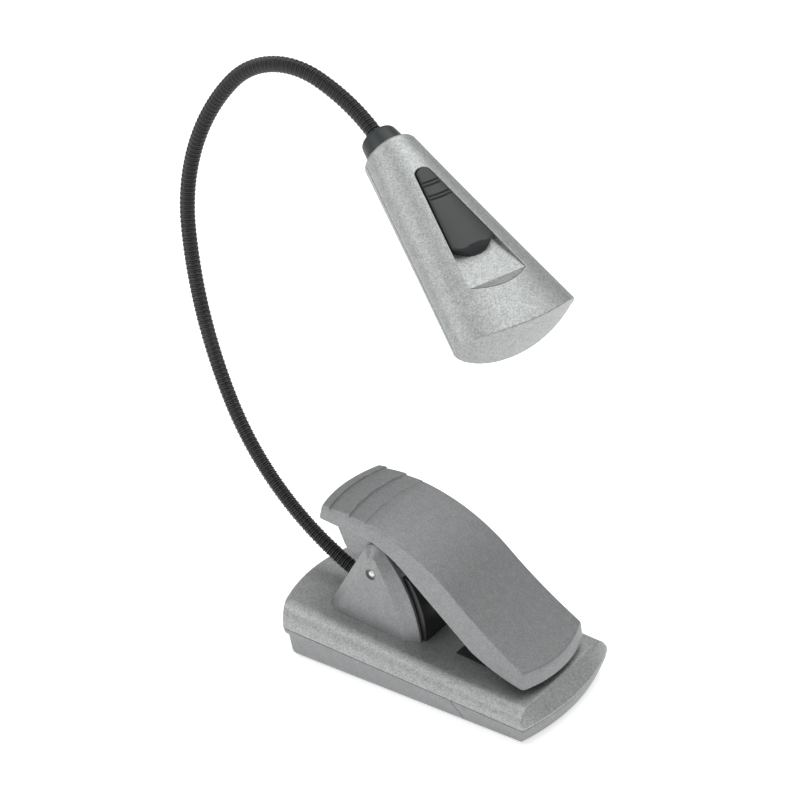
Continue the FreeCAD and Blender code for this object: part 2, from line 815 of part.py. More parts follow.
def slot_wire(grow, low, top_arc, top, bottom, bottom_arc):
    slope = (slot_bottom_half - slot_top_half) / (slot_bottom - slot_top)
    half_top = slot_top_half + slope * (top - slot_top) + grow
    half_bottom = slot_top_half + slope * (bottom - slot_top) + grow
    near_top = Vector(top, -half_top, low)
    far_top = Vector(top, half_top, low)
    near_bottom = Vector(bottom + grow, -half_bottom, low)
    far_bottom = Vector(bottom + grow, half_bottom, low)
    return Part.Wire([
        edge_arc(near_top, Vector(top_arc - grow, 0, low), far_top),
        edge_line(far_top, far_bottom),
        edge_arc(far_bottom, Vector(bottom_arc + grow, 0, low), near_bottom),
        edge_line(near_bottom, near_top),
    ])


def slot_prism(grow, low, high):
    wire = slot_wire(grow, low, slot_apex, slot_top, slot_bottom, slot_bottom_arc)
    return Part.Face(wire).extrude(Vector(0, 0, high - low))


def floor_profile(drop, low):
    points = [(15, floor_flat - drop), (floor_rise_start, floor_flat - drop),
              (floor_rise_end, floor_rise_height - drop), (75, floor_rise_height - drop + 1.3),
              (75, low), (15, low)]
    return side_prism(points, 25)


stem_start = 36.0
stem_end = 41.0
stem_half = 1.4


def head_screw_places():
    return [(24.0, 0.0), (42.0, -9.6), (42.0, 9.6)]


def screw_seat(s, w):
    return -head_surface_z(s, w) + 1.9


def make_head_top(outer, skin):
    upper = Part.makeBox(100, 60, 30, Vector(0, -30, 0))
    shell = skin.common(upper)
    tray = slot_prism(1.4, -20, 20).common(outer).common(upper)
    tray = tray.common(floor_profile(0, 0)).cut(floor_profile(1.3, -1))
    lining = slot_prism(1.4, 0, 20).cut(slot_prism(0.15, -1, 21)).common(outer)
    lining = lining.cut(floor_profile(1.3, -1))
    shell = shell.fuse(tray).fuse(lining)
    shell = shell.cut(slot_prism(0.15, 0, 20).cut(floor_profile(0, -1)))
    slit = Part.makeBox(stem_end - stem_start + knob_travel + 0.8, 2 * stem_half + 0.6, 12,
                        Vector(stem_start - 0.4, -stem_half - 0.3, 0))
    shell = shell.cut(slit)
    for s, w in head_screw_places():
        boss = cylinder(2.3, Vector(s, w, 0.1), Vector(s, w, 20)).common(outer)
        boss = boss.cut(cylinder(0.95, Vector(s, w, -1), Vector(s, w, 2.6)))
        shell = shell.fuse(boss.cut(slot_prism(0.15, floor_flat - 1.3, 20)))
    return shell.removeSplitter()


def window_prism(grow, low, high):
    near = window_half_start + grow
    far = window_half_end + grow
    start = window_start - grow
    end = window_end + grow
    points = [Vector(start, -near, low), Vector(end, -far, low), Vector(end, far, low), Vector(start, near, low)]
    return polygon_prism(points, Vector(0, 0, high - low))


def make_head_bottom(outer, skin):
    lower = Part.makeBox(100, 60, 30, Vector(0, -30, -30))
    shell = skin.common(lower)
    shell = shell.cut(window_prism(0.1, -30, -3))
    for s, w in head_screw_places():
        seat = screw_seat(s, w)
        boss = cylinder(2.9, Vector(s, w, -20), Vector(s, w, -0.1)).common(outer)
        bore = cylinder(1.1, Vector(s, w, -25), Vector(s, w, 1))
        sink = cylinder(2.0, Vector(s, w, -25), Vector(s, w, seat))
        shell = shell.fuse(boss).cut(bore).cut(sink)
    return shell.removeSplitter()


def make_head_screw(s, w):
    seat = screw_seat(s, w)
    shank = cylinder(0.9, Vector(s, w, seat), Vector(s, w, 2.4))
    head = cylinder(1.8, Vector(s, w, seat - 1.2), Vector(s, w, seat))
    slot = Part.makeBox(4, 0.45, 0.6, Vector(s - 2, w - 0.225, seat - 1.3))
    cross = Part.makeBox(0.45, 4, 0.6, Vector(s - 0.225, w - 2, seat - 1.3))
    return shank.fuse(head).cut(slot).cut(cross)


def make_lens(outer):
    band = outer.cut(head_cone(head_shoulder, 84, head_wall))
    pane = window_prism(0, -30, -3).common(band)
    return pane.removeSplitter()


led_places = [(59.5, -6.2), (59.5, 6.2)]
board_low = 2.2
board_thickness = 1.2


def make_reflector():
    outer_cup = window_prism(-0.6, -7.0, board_low - 0.4)
    inner_cup = window_prism(-1.6, -8.0, board_low - 1.4)
    cup = outer_cup.cut(inner_cup)
    for s, w in led_places:
        cup = cup.cut(cylinder(2.6, Vector(s, w, -9), Vector(s, w, 5)))
    inside = head_cone(head_shoulder, 84, head_wall + 0.3)
    return cup.common(inside)


def make_led(s, w):
    dome = Part.makeSphere(2.5, Vector(s, w, -3.6))
    body = cylinder(2.5, Vector(s, w, -3.6), Vector(s, w, 1.0))
    flange = cylinder(2.9, Vector(s, w, board_low - 0.4), Vector(s, w, board_low))
    neck = cylinder(2.5, Vector(s, w, 0.9), Vector(s, w, board_low))
    return dome.fuse(body).fuse(neck).fuse(flange)


def make_led_board():
    low = board_low
    points = [Vector(51.5, -8.5, low), Vector(67.5, -11.0, low), Vector(67.5, 11.0, low), Vector(51.5, 8.5, low)]
    return polygon_prism(points, Vector(0, 0, board_thickness))


def make_knob(outer):
    slope_gap = 0.25
    wire = slot_wire(-slope_gap, knob_underside, slot_apex, slot_top, knob_end, knob_end_arc)
    cap = Part.Face(wire).extrude(Vector(0, 0, 10))
    crown = head_cone(head_shoulder, 84, -0.5)
    cap = cap.common(crown)
    # thumb grooves across the narrow end
    for s in (27.0, 28.2, 31.8, 33.0):
        ring = cylinder(0.22, Vector(s, -8, 9.6), Vector(s, 8, 9.6))
        cap = cap.cut(ring)
    stem = Part.makeBox(stem_end - stem_start, 2 * stem_half, knob_underside - 4.6,
                        Vector(stem_start, -stem_half, 4.9))
    return cap.fuse(stem)


def make_switch_body():
    case = Part.makeBox(15, 8, 4.6, Vector(33, -4, -0.4))
    return case.cut(Part.makeBox(11, 3.6, 2.0, Vector(35, -1.8, 3.0)))


def make_switch_slider():
    return Part.makeBox(3.2, 2.4, 1.9, Vector(stem_start + 0.9, -1.2, 3.0))


def make_switch_board():
    return Part.makeBox(18.2, 11, 1.2, Vector(30, -5.5, -1.6))


def make_resistor():
    body = cylinder(0.9, Vector(31.6, -3.0, 0.55), Vector(31.6, 3.0, 0.55))
    leads = cylinder(0.3, Vector(31.6, -4.3, 0.0), Vector(31.6, 4.3, 0.0))
    return body.fuse(leads)


def make_collar():
    sleeve = Part.makeCone(collar_mouth_radius, collar_radius, head_start - 0.6, Vector(0.6, 0, 0), Vector(1, 0, 0))
    lip = Part.makeCone(collar_mouth_radius - 0.8, collar_mouth_radius, 0.8, Vector(-0.2, 0, 0), Vector(1, 0, 0))
    plug = cylinder(4.75, Vector(head_start, 0, 0), Vector(12.0, 0, 0))
    collar = sleeve.fuse(lip).fuse(plug)
    return collar.cut(cylinder(neck_radius, Vector(-3, 0, 0), Vector(13, 0, 0)))


def wire_run(points, radius):
    # a thin wire as straight runs joined by tangent arcs
    edges = []
    here = points[0]
    for before, corner, after in zip(points, points[1:], points[2:]):
        into = (corner - before).normalize()
        away = (after - corner).normalize()
        turn = into.getAngle(away)
        trim = 0.4 * min((corner - before).Length, (after - corner).Length)
        start = corner - into * trim
        end = corner + away * trim
        bend = trim / math.tan((math.pi - turn) / 2)
        inward = (away - into).normalize()
        middle = corner + inward * (bend / math.cos(turn / 2) - bend)
        edges.append(edge_line(here, start))
        edges.append(edge_arc(start, middle, end))
        here = end
    edges.append(edge_line(here, points[-1]))
    path = Part.Wire(edges)
    direction = points[1] - points[0]
    return path.makePipe(Part.Face(Part.Wire(Part.makeCircle(radius, points[0], direction))))


def make_head_wires():
    runs = []
    for w in (-0.55, 0.55):
        runs.append(wire_run([Vector(13.2, w, 0), Vector(18.5, w * 3, -2.0), Vector(24, w * 7, -3.2),
                              Vector(31.5, w * 7, -2.4)], 0.45))
    for w in (-2.0, 2.0):
        runs.append(wire_run([Vector(44.5, w, -2.05), Vector(49.4, w, -2.3), Vector(49.4, w * 1.5, 3.6),
                              Vector(51.6, w * 1.8, 4.1), Vector(55.0, w * 1.8, 3.85)], 0.4))
    return group(runs)


def make_base_wires():
    runs = []
    for y in (-0.6, 0.6):
        lane = cell_pitch / 2 + y
        runs.append(wire_run([Vector(-25.0, y, 18.2), Vector(-25.0, y, 14.4), Vector(-20.5, lane * 0.8, 13.6),
                              Vector(-14.0, lane, 12.0), Vector(11.4, lane, 11.4)], 0.45))
    return group(runs)


def main():
    os.makedirs("parts", exist_ok=True)
    export(make_base_top(), "base_top_shell")
    lower = make_lower_shell()
    export(make_front_shell(lower), "base_front_shell")
    export(make_battery_door(lower), "battery_door")
    for number, (x, y) in enumerate(base_screw_places(), start=1):
        export(make_base_screw(x, y), "base_screw_" + str(number))
    for number, (y, way) in enumerate(cell_rows(), start=1):
        export(make_cell(y, way), "battery_" + str(number))
    export(make_battery_tray(), "battery_tray")
    export(make_contact_springs(), "contact_springs")
    export(make_contact_plates(), "contact_plates")
    export(pad_prism(pad_start + 0.1, pad_end - 0.1, pad_half - 0.1, pad_lift, pad_sink), "base_jaw_pad")
    export(make_base_wires(), "base_wires")
    export(make_bracket(), "hinge_bracket")
    export(make_bracket_screws(), "bracket_screws")
    export(make_pin(), "hinge_pin")
    export(make_torsion_spring(), "torsion_spring")
    export(make_spring_cover(), "spring_cover")
    export(make_lever(), "clip_lever")
    export(make_lever_pad(), "lever_jaw_pad")
    export(make_neck_socket(), "neck_socket")
    export(make_link(None, joint_places[0], start=-root_depth), "neck_root")
    for number in range(link_count):
        link = make_link(joint_places[number], joint_places[number + 1])
        export(link, "neck_link_%02d" % (number + 1))
    export(make_link(joint_places[-1], None, end=neck_length + 12.0), "neck_tip")
    outer, skin = head_skin()
    head_parts = {
        "head_collar": make_collar(),
        "head_top_shell": make_head_top(outer, skin),
        "head_bottom_shell": make_head_bottom(outer, skin),
        "light_window": make_lens(outer),
        "reflector": make_reflector(),
        "led_board": make_led_board(),
        "switch_knob": make_knob(outer),
        "switch_slider": make_switch_slider(),
        "switch_body": make_switch_body(),
        "switch_board": make_switch_board(),
        "resistor": make_resistor(),
        "head_wires": make_head_wires(),
    }
    for number, (s, w) in enumerate(head_screw_places(), start=1):
        head_parts["head_screw_" + str(number)] = make_head_screw(s, w)
    for number, (s, w) in enumerate(led_places, start=1):
        head_parts["led_" + str(number)] = make_led(s, w)
    for name, shape in head_parts.items():
        export(place_head(shape), name)
    along, across, above = head_axes()
    print("neck length", round(neck_length, 3), "head origin", station(neck_length)[0])
    print("head along", along, "across", across, "above", above)
    for number, s in enumerate(joint_places, start=1):
        point, tangent, normal = station(s)
        print("joint", number, [round(v, 4) for v in point], "normal", [round(v, 5) for v in normal])


main()
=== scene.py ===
import json
from math import acos, atan2, cos, pi, radians, sin, sqrt

import bmesh
import bpy
from mathutils import Matrix, Vector


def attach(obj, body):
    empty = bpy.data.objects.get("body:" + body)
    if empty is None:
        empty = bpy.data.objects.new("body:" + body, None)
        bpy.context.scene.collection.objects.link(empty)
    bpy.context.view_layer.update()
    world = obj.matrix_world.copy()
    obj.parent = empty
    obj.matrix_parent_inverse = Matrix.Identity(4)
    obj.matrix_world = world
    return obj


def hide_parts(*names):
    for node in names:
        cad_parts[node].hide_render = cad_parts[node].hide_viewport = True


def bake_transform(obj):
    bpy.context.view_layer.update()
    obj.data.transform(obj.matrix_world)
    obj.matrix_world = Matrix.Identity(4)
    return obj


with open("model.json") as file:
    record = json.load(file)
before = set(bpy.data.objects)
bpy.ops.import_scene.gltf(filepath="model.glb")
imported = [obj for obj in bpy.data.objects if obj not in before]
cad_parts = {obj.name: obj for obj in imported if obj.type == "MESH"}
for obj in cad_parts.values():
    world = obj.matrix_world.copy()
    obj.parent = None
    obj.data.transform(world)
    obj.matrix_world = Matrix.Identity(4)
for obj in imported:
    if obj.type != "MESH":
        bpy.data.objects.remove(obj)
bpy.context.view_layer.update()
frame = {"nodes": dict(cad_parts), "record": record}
mm = 0.001
print("frame loaded")


# meshes: points are in millimetres in the row frame
def finishMesh(name, verts, faces, sharpAngle):
    mesh = bpy.data.meshes.new(name)
    mesh.from_pydata([Vector(p) * mm for p in verts], [], faces)
    bm = bmesh.new()
    bm.from_mesh(mesh)
    bmesh.ops.remove_doubles(bm, verts=bm.verts, dist=2e-6)
    bmesh.ops.dissolve_degenerate(bm, dist=1e-6, edges=bm.edges)
    bmesh.ops.recalc_face_normals(bm, faces=bm.faces)
    shadeByAngle(bm, sharpAngle)
    bm.to_mesh(mesh)
    bm.free()
    item = bpy.data.objects.new(name, mesh)
    bpy.context.scene.collection.objects.link(item)
    return item


def shadeByAngle(bm, sharpAngle):
    for face in bm.faces:
        face.smooth = True
    for edge in bm.edges:
        if len(edge.link_faces) == 2:
            edge.smooth = edge.calc_face_angle(0) < radians(sharpAngle)


def addGrid(verts, faces, rows):
    start = len(verts)
    width = len(rows[0])
    for row in rows:
        verts.extend(row)
    for i in range(len(rows) - 1):
        for j in range(width - 1):
            a = start + i * width + j
            faces.append((a, a + 1, a + width + 1, a + width))


def addLoops(verts, faces, loops):
    addGrid(verts, faces, [loop + loop[:1] for loop in loops])


def addFan(verts, faces, loop):
    start = len(verts)
    verts.extend(loop)
    faces.append(tuple(range(start, start + len(loop))))


def addClosed(verts, faces, loops):
    addLoops(verts, faces, loops)
    addFan(verts, faces, loops[0])
    addFan(verts, faces, loops[-1])


def lerp(a, b, t):
    return a + (b - a) * t


def steps(a, b, count):
    return [a + (b - a) * i / count for i in range(count + 1)]


def clamp(x, low, high):
    return max(low, min(high, x))


def softMin(a, b, width):
    h = max(width - abs(a - b), 0) / width
    return min(a, b) - h * h * width / 4


def easeStep(x, edge, width):
    t = clamp((x - edge) / width + 0.5, 0, 1)
    return t * t * (3 - 2 * t)


def arcThrough(a, b, c):
    # centre and radius of the circle through three points
    ax, ay = a
    bx, by = b
    cx, cy = c
    aa, bb, cc = ax * ax + ay * ay, bx * bx + by * by, cx * cx + cy * cy
    d = 2 * (ax * (by - cy) + bx * (cy - ay) + cx * (ay - by))
    ux = (aa * (by - cy) + bb * (cy - ay) + cc * (ay - by)) / d
    uy = (aa * (cx - bx) + bb * (ax - cx) + cc * (bx - ax)) / d
    return ux, uy, sqrt((ax - ux) ** 2 + (ay - uy) ** 2)


def arcHeight(a, b, c):
    ux, uy, r = arcThrough(a, b, c)
    way = 1 if b[1] > uy else -1
    return lambda x: uy + way * sqrt(max(r * r - (x - ux) ** 2, 0))


def arcPoints(a, b, c, count):
    ux, uy, r = arcThrough(a, b, c)
    t0 = atan2(a[1] - uy, a[0] - ux)
    t1 = atan2(b[1] - uy, b[0] - ux)
    t2 = atan2(c[1] - uy, c[0] - ux)
    turn = (t2 - t0) % (2 * pi)
    if (t1 - t0) % (2 * pi) > turn:
        turn -= 2 * pi
    angles = [t0 + turn * i / count for i in range(count + 1)]
    return [(ux + r * cos(t), uy + r * sin(t)) for t in angles]


# a plan with arched ends and rounded corners, as rows of points from rear to front
def planEnds(plan, insets):
    rearInset, sideInset, frontInset = insets
    corner = max(plan["corner"] - sideInset, 0.25)
    found = []
    for x0, bulge, way in ((plan["rear"] + rearInset, plan["rearBulge"], 1),
                           (plan["front"] - frontInset, plan["frontBulge"], -1)):
        first = atan2(2 * bulge, plan["half"](x0))
        fan = steps(first, pi / 2, 6)
        ends = [(x0 + way * corner * (cos(first) - cos(f)), corner * (1 - sin(f))) for f in fan]
        found.append(ends if way > 0 else ends[::-1])
    return found


def planRows(plan, inset):
    insets = inset if isinstance(inset, tuple) else (inset, inset, inset)
    fullRear, fullFront = planEnds(plan, (0, 0, 0))
    rearEnd, frontEnd = planEnds(plan, insets)
    low, high = fullRear[-1][0], fullFront[0][0]
    shift, scale = rearEnd[-1][0], (frontEnd[0][0] - rearEnd[-1][0]) / (high - low)
    middle = [(shift + (x - low) * scale, 0.0) for x in plan["lines"] if low + 0.05 < x < high - 0.05]
    length = plan["front"] - plan["rear"]
    rows = []
    for x, cut in rearEnd + middle + frontEnd:
        u = clamp((x - plan["rear"]) / length, 0, 1)
        if u > 0.5:
            bow = plan["frontBulge"] * max(0, 1 - ((1 - u) / 0.5) ** 2) ** 2
        else:
            bow = -plan["rearBulge"] * max(0, 1 - (u / 0.5) ** 2) ** 2
        half = plan["half"](x) - insets[1] - cut
        rows.append([(x + bow * (1 - t * t), half * t) for t in plan["across"]])
    return rows


def planRing(rows):
    near = [row[0] for row in rows]
    far = [row[-1] for row in rows]
    return near + rows[-1][1:-1] + far[::-1] + rows[0][-2:0:-1]


def slabMesh(name, plan, caps, rings, sharpAngle=30):
    # caps close the first and the last ring with a grid of the same outline
    verts, faces = [], []
    for inset, height in caps:
        addGrid(verts, faces, [[(x, y, height(x, y)) for x, y in row] for row in planRows(plan, inset)])
    addLoops(verts, faces, [[(x, y, height(x, y)) for x, y in planRing(planRows(plan, inset))]
                            for inset, height in rings])
    return finishMesh(name, verts, faces, sharpAngle)


def carve(item, cutters):
    for cutter in cutters:
        mod = item.modifiers.new("cut", "BOOLEAN")
        mod.operation = "DIFFERENCE"
        mod.solver = "EXACT"
        mod.object = cutter
    deps = bpy.context.evaluated_depsgraph_get()
    mesh = bpy.data.meshes.new_from_object(item.evaluated_get(deps))
    item.modifiers.clear()
    item.data = mesh
    for cutter in cutters:
        bpy.data.objects.remove(cutter)


def tubeMesh(name, centres, radii, sides, sharpAngle=30, closed=True):
    # centres are (point, tangent, side) triples
    verts, faces, loops = [], [], []
    for (point, tangent, side), r in zip(centres, radii):
        up = tangent.cross(side)
        turns = steps(0, 2 * pi, sides)[:-1]
        loops.append([tuple(point + (side * cos(a) + up * sin(a)) * r) for a in turns])
    if closed:
        addClosed(verts, faces, loops)
    else:
        addLoops(verts, faces, loops)
    return finishMesh(name, verts, faces, sharpAngle)


def lathe(name, start, axis, profile, sides=48, sharpAngle=30):
    axis = Vector(axis).normalized()
    side = axis.orthogonal().normalized()
    centres = [(Vector(start) + axis * x, axis, side) for x, r in profile]
    return tubeMesh(name, centres, [r for x, r in profile], sides, sharpAngle)


# looks: every material is a node graph
def newMaterial(name):
    mat = bpy.data.materials.new(name)
    mat.use_nodes = True
    nodes = mat.node_tree.nodes
    nodes.clear()
    out = nodes.new("ShaderNodeOutputMaterial")
    shader = nodes.new("ShaderNodeBsdfPrincipled")
    mat.node_tree.links.new(shader.outputs[0], out.inputs[0])
    return mat, shader


def link(mat, a, b):
    mat.node_tree.links.new(a, b)


def addNode(mat, kind, **values):
    node = mat.node_tree.nodes.new(kind)
    for key, value in values.items():
        if key in node.inputs:
            node.inputs[key].default_value = value
        else:
            setattr(node, key, value)
    return node


def ramp(mat, source, stops):
    node = addNode(mat, "ShaderNodeValToRGB")
    elements = node.color_ramp.elements
    elements[0].position, elements[0].color = stops[0][0], stops[0][1]
    elements[1].position, elements[1].color = stops[1][0], stops[1][1]
    for position, color in stops[2:]:
        elements.new(position).color = color
    link(mat, source, node.inputs[0])
    return node.outputs[0]


def grey(value, tint=(1, 1, 1)):
    return (value * tint[0], value * tint[1], value * tint[2], 1)


def flakePaint(name, spec):
    # metallic flake paint: fine cells vary brightness and tilt, under a thin clear coat
    mat, shader = newMaterial(name)
    coords = addNode(mat, "ShaderNodeTexCoord")
    fine = addNode(mat, "ShaderNodeTexVoronoi", Scale=spec["flake"])
    link(mat, coords.outputs["Object"], fine.inputs["Vector"])
    split = addNode(mat, "ShaderNodeSeparateColor")
    link(mat, fine.outputs["Color"], split.inputs[0])
    spread = spec["spread"]
    low = grey(spec["value"] * (1 - spread), spec["tint"])
    high = grey(min(spec["value"] * (1 + spread), 1), spec["tint"])
    color = ramp(mat, split.outputs[0], [(0.1, low), (0.9, high), (0.5, grey(spec["value"], spec["tint"]))])
    cloud = addNode(mat, "ShaderNodeTexNoise", Scale=spec["flake"] * 0.12, Detail=4.0)
    link(mat, coords.outputs["Object"], cloud.inputs["Vector"])
    mix = addNode(mat, "ShaderNodeMix", data_type="RGBA", blend_type="MULTIPLY")
    mix.inputs[0].default_value = 1.0
    link(mat, color, mix.inputs[6])
    link(mat, ramp(mat, cloud.outputs[0], [(0.3, grey(0.9)), (0.7, grey(1.0))]), mix.inputs[7])
    link(mat, mix.outputs[2], shader.inputs["Base Color"])
    rough = addNode(mat, "ShaderNodeMapRange")
    rough.inputs[3].default_value = spec["rough"] - 0.05
    rough.inputs[4].default_value = spec["rough"] + 0.08
    link(mat, split.outputs[1], rough.inputs[0])
    link(mat, rough.outputs[0], shader.inputs["Roughness"])
    bump = addNode(mat, "ShaderNodeBump", Strength=spec["tilt"], Distance=0.00012)
    link(mat, split.outputs[2], bump.inputs["Height"])
    link(mat, bump.outputs[0], shader.inputs["Normal"])
    shader.inputs["Metallic"].default_value = spec["metallic"]
    shader.inputs["Coat Weight"].default_value = spec["coat"]
    shader.inputs["Coat Roughness"].default_value = 0.28
    shader.inputs["Specular IOR Level"].default_value = 0.5
    return mat


def satin(name, spec):
    # moulded plastic, rubber or metal with a fine grain and soft mottling
    mat, shader = newMaterial(name)
    coords = addNode(mat, "ShaderNodeTexCoord")
    cloud = addNode(mat, "ShaderNodeTexNoise", Scale=spec.get("cloud", 90.0), Detail=5.0)
    link(mat, coords.outputs["Object"], cloud.inputs["Vector"])
    full = tuple(spec["color"]) + (1,)
    dark = tuple(c * 0.88 for c in spec["color"]) + (1,)
    link(mat, ramp(mat, cloud.outputs[0], [(0.3, dark), (0.7, full)]), shader.inputs["Base Color"])
    rough = addNode(mat, "ShaderNodeMapRange")
    rough.inputs[3].default_value = spec["rough"] - 0.04
    rough.inputs[4].default_value = spec["rough"] + 0.06
    link(mat, cloud.outputs[0], rough.inputs[0])
    link(mat, rough.outputs[0], shader.inputs["Roughness"])
    grain = addNode(mat, "ShaderNodeTexNoise", Scale=spec.get("grain", 2500.0), Detail=2.0)
    link(mat, coords.outputs["Object"], grain.inputs["Vector"])
    bump = addNode(mat, "ShaderNodeBump", Strength=spec.get("bump", 0.15), Distance=0.0001)
    link(mat, grain.outputs[0], bump.inputs["Height"])
    link(mat, bump.outputs[0], shader.inputs["Normal"])
    shader.inputs["Metallic"].default_value = spec.get("metallic", 0.0)
    shader.inputs["Specular IOR Level"].default_value = spec.get("specular", 0.5)
    shader.inputs["Coat Weight"].default_value = spec.get("coat", 0.0)
    shader.inputs["Transmission Weight"].default_value = spec.get("clear", 0.0)
    shader.inputs["IOR"].default_value = spec.get("ior", 1.5)
    shader.inputs["Emission Color"].default_value = tuple(spec.get("glow", (0, 0, 0))) + (1,)
    shader.inputs["Emission Strength"].default_value = 1.0 if "glow" in spec else 0.0
    return mat


looks = {
    "silver_paint": flakePaint("silverPaint", {
        "value": 0.4, "tint": (0.965, 1.0, 0.99), "spread": 0.2, "flake": 3200, "rough": 0.48,
        "metallic": 0.7, "coat": 0.05, "tilt": 0.3}),
    "grey_paint": flakePaint("greyPaint", {
        "value": 0.29, "tint": (0.97, 1.0, 1.01), "spread": 0.12, "flake": 3200, "rough": 0.46,
        "metallic": 0.6, "coat": 0.05, "tilt": 0.18}),
    "dark_plastic": satin("darkPlastic", {
        "color": (0.026, 0.031, 0.031), "rough": 0.4, "bump": 0.1, "specular": 0.35}),
    "black_plastic": satin("blackPlastic", {"color": (0.022, 0.022, 0.024), "rough": 0.3, "bump": 0.05}),
    "black_sleeve": satin("blackSleeve", {"color": (0.012, 0.012, 0.013), "rough": 0.3, "bump": 0.1}),
    "steel": satin("steel", {"color": (0.66, 0.65, 0.62), "rough": 0.26, "metallic": 1.0, "bump": 0.08}),
    "rubber_pad": satin("rubberPad", {"color": (0.018, 0.017, 0.016), "rough": 0.75, "bump": 0.5}),
    "cell_wrap": satin("cellWrap", {"color": (0.06, 0.08, 0.12), "rough": 0.25, "metallic": 0.4}),
    "clear_window": satin("clearWindow", {
        "color": (0.97, 0.98, 0.99), "rough": 0.07, "clear": 1.0, "ior": 1.49, "bump": 0.02}),
    "mirror_cup": satin("mirrorCup", {
        "color": (0.85, 0.85, 0.86), "rough": 0.12, "metallic": 1.0, "bump": 0.02}),
    "led_resin": satin("ledResin", {"color": (0.93, 0.9, 0.66), "rough": 0.12, "coat": 0.6, "bump": 0.02}),
    "circuit_board": satin("circuitBoard", {"color": (0.02, 0.12, 0.05), "rough": 0.35, "coat": 0.3}),
    "resistor_body": satin("resistorBody", {"color": (0.5, 0.36, 0.2), "rough": 0.5}),
    "wire_sleeve": satin("wireSleeve", {"color": (0.4, 0.02, 0.02), "rough": 0.45}),
}


def dress(item, slotName, body=None, nodes=()):
    item.data.materials.clear()
    item.data.materials.append(looks[slotName])
    if nodes:
        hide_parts(*nodes)
    if body:
        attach(item, body)
    return item


slotOf = {entry["node"]: entry["material_slot"] for entry in frame["record"]["subparts"]}
for nodeName, nodeItem in frame["nodes"].items():
    nodeItem.data.materials.clear()
    nodeItem.data.materials.append(looks[slotOf[nodeName]])
print("materials made")

# base case
baseSize = {
    "rear": -46.0, "front": 46.0, "half": 26.5, "rearBulge": 5.5, "frontBulge": 3.6, "shoulder": 5.4,
    "crease": 44.2, "foot": 7.0}


def partingZ(x, y=0):
    return 8.5 - 0.0457 * x


def crownZ(x):
    return 15.5 - 0.08 * x


def baseTopZ(x, y):
    crown = crownZ(x)
    out = clamp((abs(y) - (baseSize["half"] - baseSize["shoulder"])) / baseSize["shoulder"], 0, 1)
    side = (crown - partingZ(x) - 0.5) * (1 - (1 - out ** 2.1) ** 0.48)
    t2 = (y / baseSize["half"]) ** 2
    frontX = baseSize["front"] + baseSize["frontBulge"] * (1 - t2)
    rearX = baseSize["rear"] - baseSize["rearBulge"] * (1 - t2)
    drop = crownZ(baseSize["crease"]) - baseSize["foot"]
    facet = baseSize["foot"] + drop * (frontX - x) / (frontX - baseSize["crease"])
    reach = clamp(1 - (x - rearX) / 1.6, 0, 1)
    rear = 1.6 * (1 - sqrt(1 - reach * reach))
    return max(softMin(crown - side - rear, facet, 0.5), partingZ(x) + 0.25)


shoulderLines = [round(s * (21.1 + 5.4 * sin(a)) / 26.5, 6) for a in steps(0, pi / 2, 16) for s in (-1, 1)]
acrossBase = sorted(set(shoulderLines + [round(y / 26.5, 6) for y in steps(-20, 20, 20)]))
basePlan = {
    "rear": baseSize["rear"], "front": baseSize["front"], "half": lambda x: baseSize["half"],
    "rearBulge": baseSize["rearBulge"], "frontBulge": baseSize["frontBulge"], "corner": 1.0,
    "across": acrossBase,
    "lines": steps(-44.9, -41, 12) + steps(-40, 36, 38)[:-1] + steps(36, 44.9, 36)}


def above(height, lift):
    return lambda x, y: height(x, y) + lift


def between(low, high, t):
    return lambda x, y: lerp(low(x, y), high(x, y), t)


topWall = [(0.0, between(above(partingZ, 0.26), baseTopZ, t)) for t in steps(0, 1, 5)]
baseTop = slabMesh(
    "baseTop", basePlan, [(0.0, baseTopZ), (1.8, above(baseTopZ, -1.8))],
    [(1.8, above(baseTopZ, -1.8)), (1.8, above(partingZ, 0.12)), (0.16, above(partingZ, 0.12)),
     (0.05, above(partingZ, 0.17))] + topWall, sharpAngle=42)
dress(baseTop, "silver_paint", "base", ["base_top_shell"])
print("base top made")


def flat(z):
    return lambda x, y: z


# lower case: a battery door and a fixed front, divided by a slanting joint
lowerSize = {"jointX": 24.2, "jointSlope": 0.645, "gap": 0.14, "firstGrip": -38.0, "gripPitch": 2.6,
             "wellX": 34.0, "wellY": 15.5}


